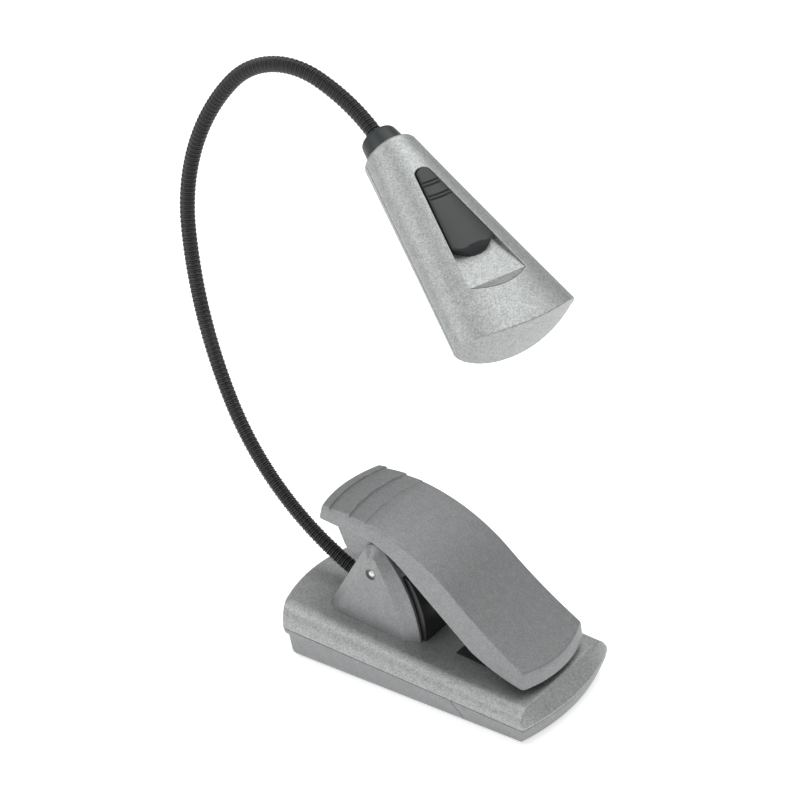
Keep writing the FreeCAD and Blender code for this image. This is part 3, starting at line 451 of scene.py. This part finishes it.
def lowerCase(name, side):
    # a rim that steps in below the parting line at the rear, then a rounded foot
    rings = [((5.6, 4.6, 4.0), flat(1.6)), ((5.0, 4.0, 3.6), flat(2.2)),
             ((2.1, 2.1, 2.1), above(partingZ, -0.16)), ((0.4, 0.4, 0.4), above(partingZ, -0.16)),
             ((0.25, 0.25, 0.25), above(partingZ, -0.26)), ((0.45, 0.35, 0.25), above(partingZ, -1.1)),
             ((0.9, 0.5, 0.35), above(partingZ, -1.8)), ((2.0, 0.6, 0.4), above(partingZ, -2.0)),
             ((2.2, 0.8, 0.5), above(partingZ, -2.4)), ((2.8, 1.6, 0.9), flat(2.6)),
             ((2.9, 1.8, 1.1), flat(1.8)), ((3.2, 2.1, 1.4), flat(1.1)), ((3.7, 2.6, 1.9), flat(0.45)),
             ((4.4, 3.3, 2.6), flat(0.1)), ((5.2, 4.3, 3.6), flat(0.0))]
    caps = [((5.2, 4.3, 3.6), flat(0.0)), ((5.6, 4.6, 4.0), flat(1.6))]
    item = slabMesh(name, basePlan, caps, rings, sharpAngle=40)
    bm = bmesh.new()
    bm.from_mesh(item.data)
    normal = Vector((1, 0, lowerSize["jointSlope"])).normalized() * side
    point = Vector((lowerSize["jointX"] - lowerSize["gap"] * side, 0, 0)) * mm
    bmesh.ops.bisect_plane(bm, geom=bm.verts[:] + bm.edges[:] + bm.faces[:], dist=1e-7, plane_co=point,
                           plane_no=normal, clear_outer=True)
    bmesh.ops.triangle_fill(bm, edges=[e for e in bm.edges if len(e.link_faces) == 1], use_beauty=True)
    bmesh.ops.recalc_face_normals(bm, faces=bm.faces)
    shadeByAngle(bm, 40)
    bm.to_mesh(item.data)
    bm.free()
    return item


door = lowerCase("batteryDoor", 1)
grips = []
for i in range(4):
    x = lowerSize["firstGrip"] + lowerSize["gripPitch"] * i
    grips.append(lathe("grip%d" % i, (x, -9.5, 0), (0, 1, 0),
                       [(0, 0.1), (0.15, 0.4), (0.5, 0.55), (18.5, 0.55), (18.85, 0.4), (19, 0.1)], 20))
carve(door, grips)
dress(door, "grey_paint", "door", ["battery_door"])
front = lowerCase("baseFront", -1)
wells = []
for y in (-lowerSize["wellY"], lowerSize["wellY"]):
    wells.append(lathe("well%d" % y, (lowerSize["wellX"], y, -1), (0, 0, 1),
                       [(0, 2.2), (3.9, 2.2), (4.0, 2.0)], 32))
carve(front, wells)
dress(front, "grey_paint", "base", ["base_front_shell"])
print("lower case made")

# hinge bracket: outlines are (x, z) loops
hingeSize = {"x": -16.9, "z": 36.4, "inside": 13.3, "face": 17.48, "sunk": 0.3}


def earLoop(rear, slopeTop, apex, slopeFront, shoulder, front):
    foot = crownZ(rear) - hingeSize["sunk"]
    points = [(lerp(rear, slopeTop[0], t), lerp(foot, slopeTop[1], t)) for t in steps(0, 1, 12)[:-1]]
    points += arcPoints(slopeTop, apex, slopeFront, 18)[:-1]
    points += arcPoints(slopeFront, shoulder, (front, crownZ(front) - hingeSize["sunk"]), 18)
    inner = [lerp(front, rear, t) for t in steps(0, 1, 20)[1:-1]]
    points += [(x, crownZ(x) - hingeSize["sunk"]) for x in inner]
    return points


wideEar = earLoop(-35.1, (-21.6, 42.6), (-17.2, 45.9), (-12.9, 43.4), (-4.6, 31.6), 0.4)
slimEar = earLoop(-31.5, (-18.6, 41.1), (-16.7, 42.7), (-14.7, 41.2), (-9.6, 31.6), -4.5)


def earRing(y, blend, tuck=0.0):
    ring = []
    for (ax, az), (bx, bz) in zip(wideEar, slimEar):
        x, z = lerp(ax, bx, blend), lerp(az, bz, blend)
        pull = tuck * min(1, max(0, (z - crownZ(x)) / 3))
        away = Vector((x - hingeSize["x"], z - 26)).normalized() * pull
        ring.append((x - away.x, y, z - away.y))
    return ring


def makeEar(side):
    verts, faces = [], []
    stages = [(hingeSize["inside"], 0, 0.35), (13.4, 0, 0.1), (13.65, 0, 0), (14.5, 0, 0), (14.66, 0.03, 0),
              (15.7, 0.39, 0), (17.28, 0.94, 0), (17.42, 0.985, 0), (hingeSize["face"], 1.0, 0.12)]
    addLoops(verts, faces, [earRing(side * y, blend, tuck) for y, blend, tuck in stages])
    item = finishMesh("ear", verts, faces, 50)
    bm = bmesh.new()
    bm.from_mesh(item.data)
    for y, radius in ((hingeSize["face"], 1.95), (hingeSize["inside"], 1.3)):
        hole = []
        for a in steps(0, 2 * pi, 40)[:-1]:
            spot = Vector((hingeSize["x"] + radius * cos(a), side * y, hingeSize["z"] + radius * sin(a)))
            hole.append(bm.verts.new(spot * mm))
        edges = [bm.edges.new((hole[i], hole[(i + 1) % 40])) for i in range(40)]
        rim = [e for e in bm.edges if len(e.link_faces) == 1
               and all(abs(v.co.y - side * y * mm) < 1e-6 for v in e.verts)]
        bmesh.ops.triangle_fill(bm, edges=rim + edges, use_beauty=True)
    bmesh.ops.recalc_face_normals(bm, faces=bm.faces)
    shadeByAngle(bm, 11)
    bm.to_mesh(item.data)
    bm.free()
    return item


def joinPieces(name, items):
    bm = bmesh.new()
    for item in items:
        bm.from_mesh(item.data)
        bpy.data.objects.remove(item)
    mesh = bpy.data.meshes.new(name)
    bm.to_mesh(mesh)
    bm.free()
    joined = bpy.data.objects.new(name, mesh)
    bpy.context.scene.collection.objects.link(joined)
    return joined


def ringWall(name, centre, axis, profile, sides=40):
    # an open wall of revolution, for bores and recesses
    axis = Vector(axis).normalized()
    side = Vector((1, 0, 0))
    centres = [(Vector(centre) + axis * x, axis, side) for x, r in profile]
    return tubeMesh(name, centres, [r for x, r in profile], sides, 30, closed=False)


def boxMesh(name, points, half, bevel):
    # points are the (x, z) corners of a side view
    verts = [(x, y, z) for y in (-half, half) for x, z in points]
    count = len(points)
    faces = [tuple(range(count)), tuple(range(count, 2 * count))]
    for i in range(count):
        j = (i + 1) % count
        faces.append((i, j, j + count, i + count))
    item = finishMesh(name, verts, faces, 30)
    bm = bmesh.new()
    bm.from_mesh(item.data)
    bmesh.ops.bevel(bm, geom=bm.edges[:], offset=bevel * mm, segments=3, profile=0.5, affect="EDGES")
    shadeByAngle(bm, 50)
    bm.to_mesh(item.data)
    bm.free()
    return item


bracketParts = []
for side in (-1, 1):
    bracketParts.append(makeEar(side))
    bore = [(hingeSize["face"], 1.95), (17.35, 1.85), (16.7, 1.85), (16.7, 1.28), (hingeSize["inside"], 1.28)]
    bracketParts.append(ringWall("bore", (hingeSize["x"], 0, hingeSize["z"]), (0, side, 0), bore))
bridgeSide = [(x, crownZ(x) + lift) for x, lift in ((-19.0, -0.2), (-11.6, -0.2), (-11.6, 1.5), (-19.0, 1.5))]
bracketParts.append(boxMesh("bridge", bridgeSide, 13.9, 0.25))
bracket = joinPieces("hingeBracket", bracketParts)
dress(bracket, "grey_paint", "base", ["hinge_bracket"])
pin = lathe("hingePin", (hingeSize["x"], -17.3, hingeSize["z"]), (0, 1, 0),
            [(0, 0.01), (0.03, 0.5), (0.14, 0.9), (0.4, 1.2), (34.2, 1.2), (34.46, 0.9), (34.57, 0.5),
             (34.6, 0.01)])
dress(pin, "steel", "base", ["hinge_pin"])
print("bracket made")


# spring cover between the ears, drawn in by inset towards its two sides
coverSize = {"front": 1.4, "rear": -10.6, "half": 12.9, "sunk": 0.2}


def coverOutline(inset):
    front, rear, sunk = coverSize["front"], coverSize["rear"], coverSize["sunk"]
    shoulder = (-4.4 - inset * 0.7, 34.6 - inset * 0.7)
    crown = (-8.6 + inset, 35.6 - inset)
    points = arcPoints((front - inset, crownZ(front) - sunk), (0.2 - inset, 24.5), shoulder, 16)
    points += arcPoints(shoulder, (-6.2, 36.0 - inset), crown, 6)[1:]
    points += arcPoints(crown, (-11.0 + inset, 26.0), (rear + inset, crownZ(rear) - sunk), 14)[1:]
    for t in steps(0, 1, 6)[1:-1]:
        points.append((lerp(rear + inset, front - inset, t), crownZ(lerp(rear, front, t)) - sunk))
    return points


def coverMesh():
    verts, faces = [], []
    half = coverSize["half"]
    sections = [(-half, 0.6), (-12.82, 0.3), (-12.65, 0.1), (-12.3, 0), (12.3, 0), (12.65, 0.1), (12.82, 0.3),
                (half, 0.6)]
    addClosed(verts, faces, [[(x, y, z) for x, z in coverOutline(inset)] for y, inset in sections])
    return finishMesh("springCover", verts, faces, 50)


dress(coverMesh(), "black_plastic", "base", ["spring_cover"])

# lever: three arcs along its top, and three stepped lands at its rear
leverSize = {"rear": -37.6, "front": 41.2, "half": 16.8, "flare": 1.8, "rearBulge": 2.6, "frontBulge": 3.0}
leverJoins = [(-18.0, 53.7), (12.0, 40.6)]
leverArcs = [arcHeight((-41.0, 52.3), (-29.5, 53.9), leverJoins[0]),
             arcHeight(leverJoins[0], (-3.0, 49.4), leverJoins[1]),
             arcHeight(leverJoins[1], (29.0, 27.8), (47.0, 17.2))]
skirtTip = arcHeight((47.0, 14.3), (32.5, 17.1), (21.2, 21.9))
skirtHeel = arcHeight((-1.5, 39.4), (-8.6, 44.7), (-17.0, 48.4))
landEdges = [(-33.3, 0.65), (-25.6, 0.65), (-19.4, 0.3)]


def leverHalf(x):
    return leverSize["half"] + leverSize["flare"] * (x - leverSize["rear"]) / 78.8


def leverTopZ(x, y):
    z = leverArcs[0](x) if x < -18 else leverArcs[1](x) if x < 12 else leverArcs[2](x)
    t2 = min((y / leverHalf(x)) ** 2, 1)
    for edge, rise in landEdges:
        u = (edge - leverSize["rear"]) / (leverSize["front"] - leverSize["rear"])
        bow = leverSize["rearBulge"] * (1 - (u / 0.5) ** 2) ** 2
        past = x - (edge - bow * (1 - t2))
        groove = 0.3 * min(rise, 0.5) * max(0, 1 - abs(past - 0.3) / 0.25)
        z += rise * (1 - easeStep(past, 0, 0.26)) - groove
    return z + 0.35 * (1 - t2) - 0.1


def skirtZ(x, y):
    if x > 21.2:
        return skirtTip(min(x, 47))
    if x > -1.5:
        return lerp(39.4, 21.9, (x + 1.5) / 22.7)
    if x > -17:
        return skirtHeel(x)
    return lerp(50.5, 48.4, (x + 41) / 24)


leverPlan = {
    "rear": leverSize["rear"], "front": leverSize["front"], "half": leverHalf,
    "rearBulge": leverSize["rearBulge"], "frontBulge": leverSize["frontBulge"],
    "corner": 1.4, "across": steps(-1, 1, 28),
    "lines": steps(-35.8, -18, 130) + steps(-17, 39.6, 58)}
leverWall = []
for inset, t in ((0.0, 0.03), (0.1, 0.2), (0.3, 0.45), (0.5, 0.7), (0.68, 0.88)):
    leverWall.append((inset, between(skirtZ, leverTopZ, t)))
for angle in steps(0, 80, 5):
    lift = -0.5 + 0.5 * sin(radians(angle))
    leverWall.append((0.75 + 0.5 * (1 - cos(radians(angle))), above(leverTopZ, lift)))
leverRings = [(2.0, above(leverTopZ, -2.3)), (2.0, between(skirtZ, leverTopZ, 0.02)), (1.7, skirtZ),
              (0.25, skirtZ)]
leverBody = slabMesh("leverBody", leverPlan, [(1.25, leverTopZ), (2.0, above(leverTopZ, -2.3))],
                     leverRings + leverWall + [(1.25, leverTopZ)], sharpAngle=38)


def cheekOutline(inset):
    lower = arcPoints((-20.9, 33.9), (-17.6, 31.9), (-13.2, 33.8), 12)
    outline = [(-35.4, 52.0), (-30.2, 41.0), (-29.2, 39.7)] + lower
    outline += [(-5.6, 45.2), (-6.5, 49.4), (-18.0, 52.3), (-30.0, 52.4)]
    return [(x + inset * (1 if x < -20 else -1) * 0.7, z + (inset if z < 42 else 0)) for x, z in outline]


leverParts = [leverBody]
for side in (-1, 1):
    verts, faces, loops = [], [], []
    for y, inset in ((10.7, 0.25), (10.85, 0.05), (11.1, 0), (12.5, 0), (12.75, 0.05), (12.9, 0.25)):
        loops.append([(x, side * y, z) for x, z in cheekOutline(inset)])
    addClosed(verts, faces, loops)
    leverParts.append(finishMesh("cheek", verts, faces, 45))
lever = joinPieces("clipLever", leverParts)
dress(lever, "grey_paint", "lever", ["clip_lever"])
print("lever made")

# gooseneck: tangent arcs, then one arc that turns into the head's direction
neckSize = {
    "foot": (-38.6, 0, 24.5), "heading": 25.5,
    "arcs": [(97.0, 39.7), (162.5, 21.2), (70.6, 48.2), (30.5, 67.0)],
    "lastRadius": 78.8, "radius": 2.12, "broadRib": 0.4, "narrowRib": 0.27, "ribPitch": 1.6, "ribSteps": 14,
    "root": 8.0, "tip": 3.2, "firstJoint": 3.0, "ends": 11.0, "overlap": 0.8, "slimmer": 0.12, "rigid": 4}
headTurn = {"pitch": 31.5, "yaw": -15.8, "roll": 16.9}


def headAxes():
    pitch, yaw, roll = (radians(headTurn[key]) for key in ("pitch", "yaw", "roll"))
    along = Vector((cos(pitch) * cos(yaw), sin(yaw), -sin(pitch) * cos(yaw)))
    level = (Vector((0, 1, 0)) - along * along.y).normalized()
    across = level * cos(roll) + along.cross(level) * sin(roll)
    return along, across, along.cross(across)


def alongArc(point, tangent, normal, radius, angle):
    out = tangent * sin(angle) - normal * cos(angle)
    return point + normal * radius + out * radius, tangent * cos(angle) + normal * sin(angle), -out


def neckSegments():
    heading = radians(neckSize["heading"])
    tangent, normal = Vector((-cos(heading), 0, sin(heading))), Vector((sin(heading), 0, cos(heading)))
    here = (Vector(neckSize["foot"]), tangent, normal)
    found = []
    for radius, angle in neckSize["arcs"]:
        found.append((radius * radians(angle), here, radius))
        here = alongArc(*here, radius, radians(angle))
    goal = headAxes()[0]
    point, tangent, normal = here
    normal = (goal - tangent * tangent.dot(goal)).normalized()
    radius = neckSize["lastRadius"]
    found.append((radius * tangent.angle(goal), (point, tangent, normal), radius))
    return found


segments = neckSegments()
neckLength = sum(segment[0] for segment in segments)


def neckAt(s):
    if s <= 0:
        point, tangent, normal = segments[0][1]
        return point + tangent * s, tangent
    for length, here, radius in segments:
        if s <= length:
            return alongArc(*here, radius, s / radius)[:2]
        s -= length
    point, tangent = alongArc(*here, radius, length / radius)[:2]
    return point + tangent * s, tangent


def ribRadius(phase):
    # one broad and one narrow rib to each turn of the sleeve
    if phase < 0.56:
        return neckSize["radius"] + neckSize["broadRib"] * sin(pi * phase / 0.56) ** 0.6
    return neckSize["radius"] + neckSize["narrowRib"] * sin(pi * (phase - 0.56) / 0.44) ** 0.7


ribPitch, root = neckSize["ribPitch"], neckSize["root"]
jointStep = (neckLength - neckSize["ends"]) / 11
jointPlaces = [neckSize["firstJoint"] + jointStep * i for i in range(12)]
neckBodies = ["base"] + ["neck_%02d" % i for i in range(1, 12)] + ["head"]
neckNodes = ["neck_root"] + ["neck_link_%02d" % i for i in range(1, 12)] + ["neck_tip"]
cuts = [-root]
for a, b in zip(jointPlaces, jointPlaces[1:]):  # a sleeve ends on a whole rib, midway between two hinges
    cuts.append(round(((a + b) / 2 + root) / ribPitch) * ribPitch - root)
cuts.append(neckLength + neckSize["tip"])


def makeSleeve(name, low, high, full):
    # full is the stretch that shows; past it the sleeve is slimmer and slips into its neighbour
    count = round((high - low) / ribPitch * neckSize["ribSteps"])
    centres, radii = [], []
    for i in range(count + 1):
        s = lerp(low, high, i / count)
        point, tangent = neckAt(s)
        side = (Vector((0, 1, 0)) - tangent * tangent.y).normalized()
        centres.append((point, tangent, side))
        slim = 0 if full[0] - 0.01 <= s <= full[1] + 0.01 else neckSize["slimmer"]
        radii.append(ribRadius(((s + root) / ribPitch) % 1.0) - slim)
    sleeve = tubeMesh(name, centres, radii, 36, 70)
    dress(sleeve, "black_sleeve")
    return sleeve


for index in range(12):
    low, high = cuts[index], cuts[index + 1]
    place = jointPlaces[index]
    name = "sleeve%02d" % (index + 1)
    if index == neckSize["rigid"]:  # two rigid lengths that overlap at their hinge
        overlap = neckSize["overlap"]
        sleeve = makeSleeve(name, low, place + overlap, (low, place))
        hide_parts(neckNodes[index])
        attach(sleeve, neckBodies[index])
        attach(makeSleeve(name + "b", place - overlap, high, (place, high)), neckBodies[index + 1])
        continue
    sleeve = makeSleeve(name, low, high, (low, high))
    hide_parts(*(neckNodes[index:index + 1] if index < 11 else neckNodes[11:]))
    reach = 6.5 if index else 2.9
    neckAt(place - reach)[0] * mm
    neckAt(place + reach)[0] * mm
    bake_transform(sleeve)
print("gooseneck made")


# head: built along X with Y across and Z towards the switch, then placed
headSize = {
    "length": 75.2, "half": 7.24, "spread": 13.66, "tall": 8.81, "rise": 0.89,
    "neckEnd": 9.0, "neckRound": 1.4}
slotSize = {"start": 23.5, "end": 62.7, "half": 2.85, "slope": 0.1773, "apex": 2.1, "arch": 3.1, "wide": 9.8,
            "grow": 0.3}
along, across, upward = headAxes()
headOrigin = neckAt(neckLength)[0]
headMatrix = Matrix((along, across, upward)).transposed().to_4x4()
headMatrix.translation = headOrigin * mm


def placeHead(item):
    item.data.transform(headMatrix)
    return item


def headHalf(s):
    # half width and half height of the cone at s, rounded in at its neck end
    t = s / headSize["length"]
    half = headSize["half"] + headSize["spread"] * t
    tall = headSize["tall"] + headSize["rise"] * t
    if s < headSize["neckEnd"]:
        k = sqrt(max(0.0, 1 - ((headSize["neckEnd"] - s) / headSize["neckRound"]) ** 2))
        half, tall = lerp(6.7, half, k), lerp(6.9, tall, k)
    return half, tall


def conePoint(line, theta, shrink=0.0):
    t = cos(theta)
    late = clamp((line - 66.5) / 8.3, 0, 1) ** 2
    s = line + 4.64 * late * (1 - t * t)
    half, tall = headHalf(s)
    return (s, (half - shrink) * t, (tall - shrink) * sin(theta))


def slotEdge(s, grow):
    return slotSize["half"] + slotSize["slope"] * (s - slotSize["start"]) + grow


def slotHalf(s, grow=0.0):
    # half width of the switch slot at s, with arched ends
    if s < slotSize["start"]:
        k = (slotSize["start"] - s) / (slotSize["apex"] + grow)
        return (slotSize["half"] + grow) * sqrt(max(0.0, 1 - k * k)) if k < 1 else 0.0
    if s > slotSize["end"] + grow:
        k = (s - slotSize["end"] - grow) / slotSize["arch"]
        return (slotSize["wide"] + grow) * sqrt(max(0.0, 1 - k)) if k < 1 else 0.0
    return slotEdge(s, grow)


def headShell(way, lines, inner):
    # way is 1 for the switch side and -1 for the light side; inner(s) is half the width left open
    verts, faces = [], []
    for side in (-1, 1):
        rows = []
        for line in lines:
            gap = min(inner(line) / headHalf(line)[0], 0.999)
            row = []
            for theta in steps(0.012, acos(gap) if gap > 0 else pi / 2, 26):
                x, y, z = conePoint(line, theta)
                row.append((x, side * y, way * z))
            rows.append(row)
        addGrid(verts, faces, rows)
    return verts, faces


def endRings(way):
    # the arched end face, with a small rounding where it meets the cone
    thetas = steps(0.012, pi - 0.012, 48)
    size = 0.35 if way > 0 else 0.9
    rows = []
    for phi in steps(0, pi / 2, 5):
        row = [conePoint(headSize["length"] - size, a, size * (1 - cos(phi))) for a in thetas]
        rows.append([(x + size * sin(phi), y, way * z) for x, y, z in row])
    edge = rows[-1]
    for k in steps(1, 0.0, 6)[1:]:
        rows.append([(x, y, z * k + way * 0.04 * (1 - k)) for x, y, z in edge])
    return rows


neckLines = [headSize["neckEnd"] - headSize["neckRound"] * cos(a) for a in steps(0, pi / 2, 8)]
topLines = neckLines + steps(9.8, 20.6, 9)
topLines += [slotSize["start"] - (slotSize["apex"] + slotSize["grow"]) * cos(a) for a in steps(0, pi / 2, 10)]
topLines += steps(24.5, 62, 30)
archStart = slotSize["end"] + slotSize["grow"]
topLines += [archStart + slotSize["arch"] * (1 - (w / 10) ** 2) for w in steps(10, 0, 14)]
topLines += [66.3, 67.5, 69, 71, 73, 74.85]


def headTop():
    verts, faces = headShell(1, topLines, lambda s: slotHalf(s, slotSize["grow"]))
    addGrid(verts, faces, endRings(1))
    return verts, faces


def slotPlan(grow, last, endHalf, arch, counts):
    # one side of a slot or knob, from its narrow end round to the middle of its arched end
    plan = []
    for a in steps(0, pi / 2, counts[0])[:-1]:
        s = slotSize["start"] - (slotSize["apex"] + grow) * cos(a)
        plan.append((s, (slotSize["half"] + grow) * sin(a)))
    plan += [(s, slotEdge(s, grow)) for s in steps(slotSize["start"], last, counts[1])[:-1]]
    return plan + [(last + arch * (1 - w * w), endHalf * w) for w in steps(1, 0, counts[2])]


def mirrored(plan):
    return plan + [(s, -w) for s, w in plan[-2:0:-1]]


def slotLoop(grow):
    last, wide = slotSize["end"] + grow, slotSize["wide"] + grow
    return mirrored(slotPlan(grow, last, wide, slotSize["arch"], (10, 24, 14)))


def coneZ(s, w):
    half, tall = headHalf(s)
    return tall * sqrt(max(0.0, 1 - (w / half) ** 2))


def floorZ(s):
    return lerp(6.5, 7.7, clamp((s - 50) / 12.7, 0, 1))


def slotWalls():
    # a rounded rim, then the wall; past the ramp the rim runs into the end slope
    verts, faces, loops = [], [], []
    for grow, drop in ((slotSize["grow"], 0.0), (0.18, 0.02), (0.08, 0.09), (0.02, 0.2), (0.0, 0.35)):
        loops.append([(s, w, coneZ(s, w) - drop) for s, w in slotLoop(grow)])
    foot = []
    for s, w in slotLoop(0.0):
        low = coneZ(s, w) - 0.5
        foot.append((s, w, min(floorZ(s) - 0.2, low) if s < slotSize["end"] - 0.01 else low))
    addLoops(verts, faces, loops + [foot])
    return verts, faces


def slotFloor():
    # a ramp up to a straight edge, then a slope up to the arched rim
    verts, faces = [], []
    start, end = slotSize["start"], slotSize["end"]
    lines = [start - slotSize["apex"] * cos(a) for a in steps(0, pi / 2, 6)][1:]
    lines += steps(26, 50, 6) + steps(51, end, 12)
    across = steps(-1, 1, 24)
    addGrid(verts, faces, [[(s, (slotHalf(s) + 0.02) * t, floorZ(s)) for t in across] for s in lines])
    rows = []
    for k in steps(0, 1, 6):
        row = []
        for t in across:
            reach, w = slotSize["arch"] * (1 - t * t), slotSize["wide"] * t
            row.append((end + reach * k, w, lerp(floorZ(end), coneZ(end + reach, w) - 0.04, k)))
        rows.append(row)
    addGrid(verts, faces, rows)
    return verts, faces


headTopParts = []
for label, build in (("skin", headTop), ("walls", slotWalls), ("floor", slotFloor)):
    verts, faces = build()
    headTopParts.append(placeHead(finishMesh(label, verts, faces, 40)))
dress(joinPieces("headTop", headTopParts), "silver_paint", "head", ["head_top_shell"])

# light side of the head, with a window opening
windowEdge = {"start": 50.0, "end": 69.0, "near": 9.0, "far": 13.0, "gap": 0.1, "depth": 1.6}


def windowHalf(s):
    start, end = windowEdge["start"], windowEdge["end"]
    t = (clamp(s, start, end) - start) / (end - start)
    return lerp(windowEdge["near"], windowEdge["far"], t) + windowEdge["gap"]


def headBottom():
    first, last = windowEdge["start"] - windowEdge["gap"], windowEdge["end"] + windowEdge["gap"]
    lineSets = [(neckLines + steps(9.8, first, 24), lambda s: 0.0), (steps(first, last, 20), windowHalf),
                ([last, 70, 71, 72, 73, 74.3], lambda s: 0.0)]
    verts, faces = [], []
    for lines, inner in lineSets:
        shellVerts, shellFaces = headShell(-1, lines, inner)
        offset = len(verts)
        verts.extend(shellVerts)
        faces.extend(tuple(i + offset for i in face) for face in shellFaces)
    addGrid(verts, faces, endRings(-1))
    near, far = windowHalf(first), windowHalf(last)
    loop = [(s, windowHalf(s)) for s in steps(first, last, 12)]
    loop += [(last, w) for w in steps(far, -far, 14)[1:-1]]
    loop += [(s, -windowHalf(s)) for s in steps(last, first, 12)]
    loop += [(first, w) for w in steps(-near, near, 10)[1:-1]]
    rim = [(s, w, -coneZ(s, w)) for s, w in loop]
    addLoops(verts, faces, [rim, [(s, w, z + windowEdge["depth"]) for s, w, z in rim]])
    return verts, faces


verts, faces = headBottom()
headUnder = placeHead(finishMesh("headBottom", verts, faces, 40))
dress(headUnder, "silver_paint", "head", ["head_bottom_shell"])

# collar on the head's neck end
collar = lathe("headCollar", (0, 0, 0), (1, 0, 0),
               [(1.4, 2.55), (1.35, 4.9), (1.5, 5.3), (1.85, 5.6), (2.4, 5.8), (7.0, 6.55), (7.4, 6.62),
                (7.62, 6.5), (7.9, 6.2)], 64, 40)
dress(placeHead(collar), "dark_plastic", "head", ["head_collar"])


# switch knob: a crowned slide with thumb grooves and a bevelled end
knobSize = {"end": 50.0, "crown": 0.42, "arch": 3.6, "grooves": (27.0, 28.2, 31.8, 33.0), "clearance": 0.16}


def knobZ(s, w):
    top = coneZ(s, w) + knobSize["crown"] + 0.25 * clamp((30 - s) / 9, 0, 1)
    for groove in knobSize["grooves"]:
        top -= 0.32 * max(0, 1 - abs(s - groove + 0.03 * w * w) / 0.34)
    return softMin(top, coneZ(knobSize["end"], 0) + knobSize["crown"] - (s - 51.1) * 1.7, 0.4)


def knobSide(gap):
    end = knobSize["end"]
    return slotPlan(-gap, end - gap, slotEdge(end, -gap), knobSize["arch"], (12, 190, 16))


def knobMesh():
    verts, faces, loops = [], [], []
    loops.append([(s, w, floorZ(s) + 0.15) for s, w in mirrored(knobSide(0.5))])
    for gap, level in ((0.44, 1.0), (0.42, 0.55), (0.46, 0.25), (0.56, 0.08), (0.8, 0.0)):
        ring = mirrored(knobSide(gap))
        loops.append([
            (s, w, max(knobZ(s, w) - level * 0.6, floorZ(s) + knobSize["clearance"])) for s, w in ring])
    addLoops(verts, faces, loops)
    rows = []
    for s, w in knobSide(0.8):
        low = floorZ(s) + knobSize["clearance"]
        rows.append([(s, w * t, max(knobZ(s, w * t), low)) for t in steps(-1, 1, 22)])
    addGrid(verts, faces, rows)
    return verts, faces


verts, faces = knobMesh()
knob = placeHead(finishMesh("switchKnob", verts, faces, 40))
dress(knob, "dark_plastic", "knob", ["switch_knob"])
print("head made")

# camera, light and floor
cameraSetup = {"place": (325.96, -507.24, 413.69), "aim": (-17.41, 0, 91.28), "lens": 100, "sensor": 36}
camera = bpy.data.objects.new("camera", bpy.data.cameras.new("camera"))
camera.data.lens = cameraSetup["lens"]
camera.data.sensor_width = cameraSetup["sensor"]
camera.data.clip_start = 0.01
camera.location = Vector(cameraSetup["place"]) * mm
aim = Vector(cameraSetup["aim"]) * mm - camera.location
camera.rotation_euler = aim.to_track_quat("-Z", "Y").to_euler()
bpy.context.scene.collection.objects.link(camera)
bpy.context.scene.camera = camera

# sky height and brightness
skyLevels = [(0.0, 0.9), (1.0, 0.55), (0.12, 0.7), (0.3, 0.26), (0.5, 0.46), (0.65, 0.46)]
world = bpy.data.worlds.new("world")
world.use_nodes = True
sky = world.node_tree.nodes
skyCoords = sky.new("ShaderNodeTexCoord")
skySplit = sky.new("ShaderNodeSeparateXYZ")
skyRamp = sky.new("ShaderNodeValToRGB")
skyStops = skyRamp.color_ramp.elements
for stop, (position, level) in zip(skyStops, skyLevels):
    stop.position, stop.color = position, grey(level)
for position, level in skyLevels[2:]:
    skyStops.new(position).color = grey(level)
world.node_tree.links.new(skyCoords.outputs["Generated"], skySplit.inputs[0])
world.node_tree.links.new(skySplit.outputs[2], skyRamp.inputs[0])
world.node_tree.links.new(skyRamp.outputs[0], sky["Background"].inputs[0])
sky["Background"].inputs[1].default_value = 1.0
bpy.context.scene.world = world
bpy.context.scene.view_settings.view_transform = "Standard"


lights = {
    "topLight": {"place": (0.05, 0.22, 1.0), "aim": (0, 0, 0.1), "size": 0.75, "power": 4.6},
    "leftLight": {"place": (-0.55, -0.55, 0.7), "aim": (0, 0, 0.08), "size": 0.6, "power": 2.6},
    "frontLight": {"place": (0.1, -1.0, 0.5), "aim": (0, 0, 0.08), "size": 0.5, "power": 1.0}}
for name, light in lights.items():
    data = bpy.data.lights.new(name, "AREA")
    data.shape = "RECTANGLE"
    data.size = data.size_y = light["size"]
    data.energy = light["power"]
    item = bpy.data.objects.new(name, data)
    item.location = light["place"]
    item.rotation_euler = (Vector(light["aim"]) - Vector(light["place"])).to_track_quat("-Z", "Y").to_euler()
    bpy.context.scene.collection.objects.link(item)

floorSize = {"half": 6, "z": -0.0005}  # metres
floorMesh = bpy.data.meshes.new("floor")
floorCorners = [(x * floorSize["half"], y * floorSize["half"], floorSize["z"])
                for x, y in ((-1, -1), (1, -1), (1, 1), (-1, 1))]
floorMesh.from_pydata(floorCorners, [], [(0, 1, 2, 3)])
floor = bpy.data.objects.new("floor", floorMesh)
floorLook, floorShader = newMaterial("floorLook")
floorShader.inputs["Base Color"].default_value = (0.93, 0.93, 0.93, 1)
floorShader.inputs["Roughness"].default_value = 0.9
floorShader.inputs["Specular IOR Level"].default_value = 0.1
floorShader.inputs["Emission Color"].default_value = (1, 1, 1, 1)
floorShader.inputs["Emission Strength"].default_value = 0.5
floorMesh.materials.append(floorLook)
bpy.context.scene.collection.objects.link(floor)
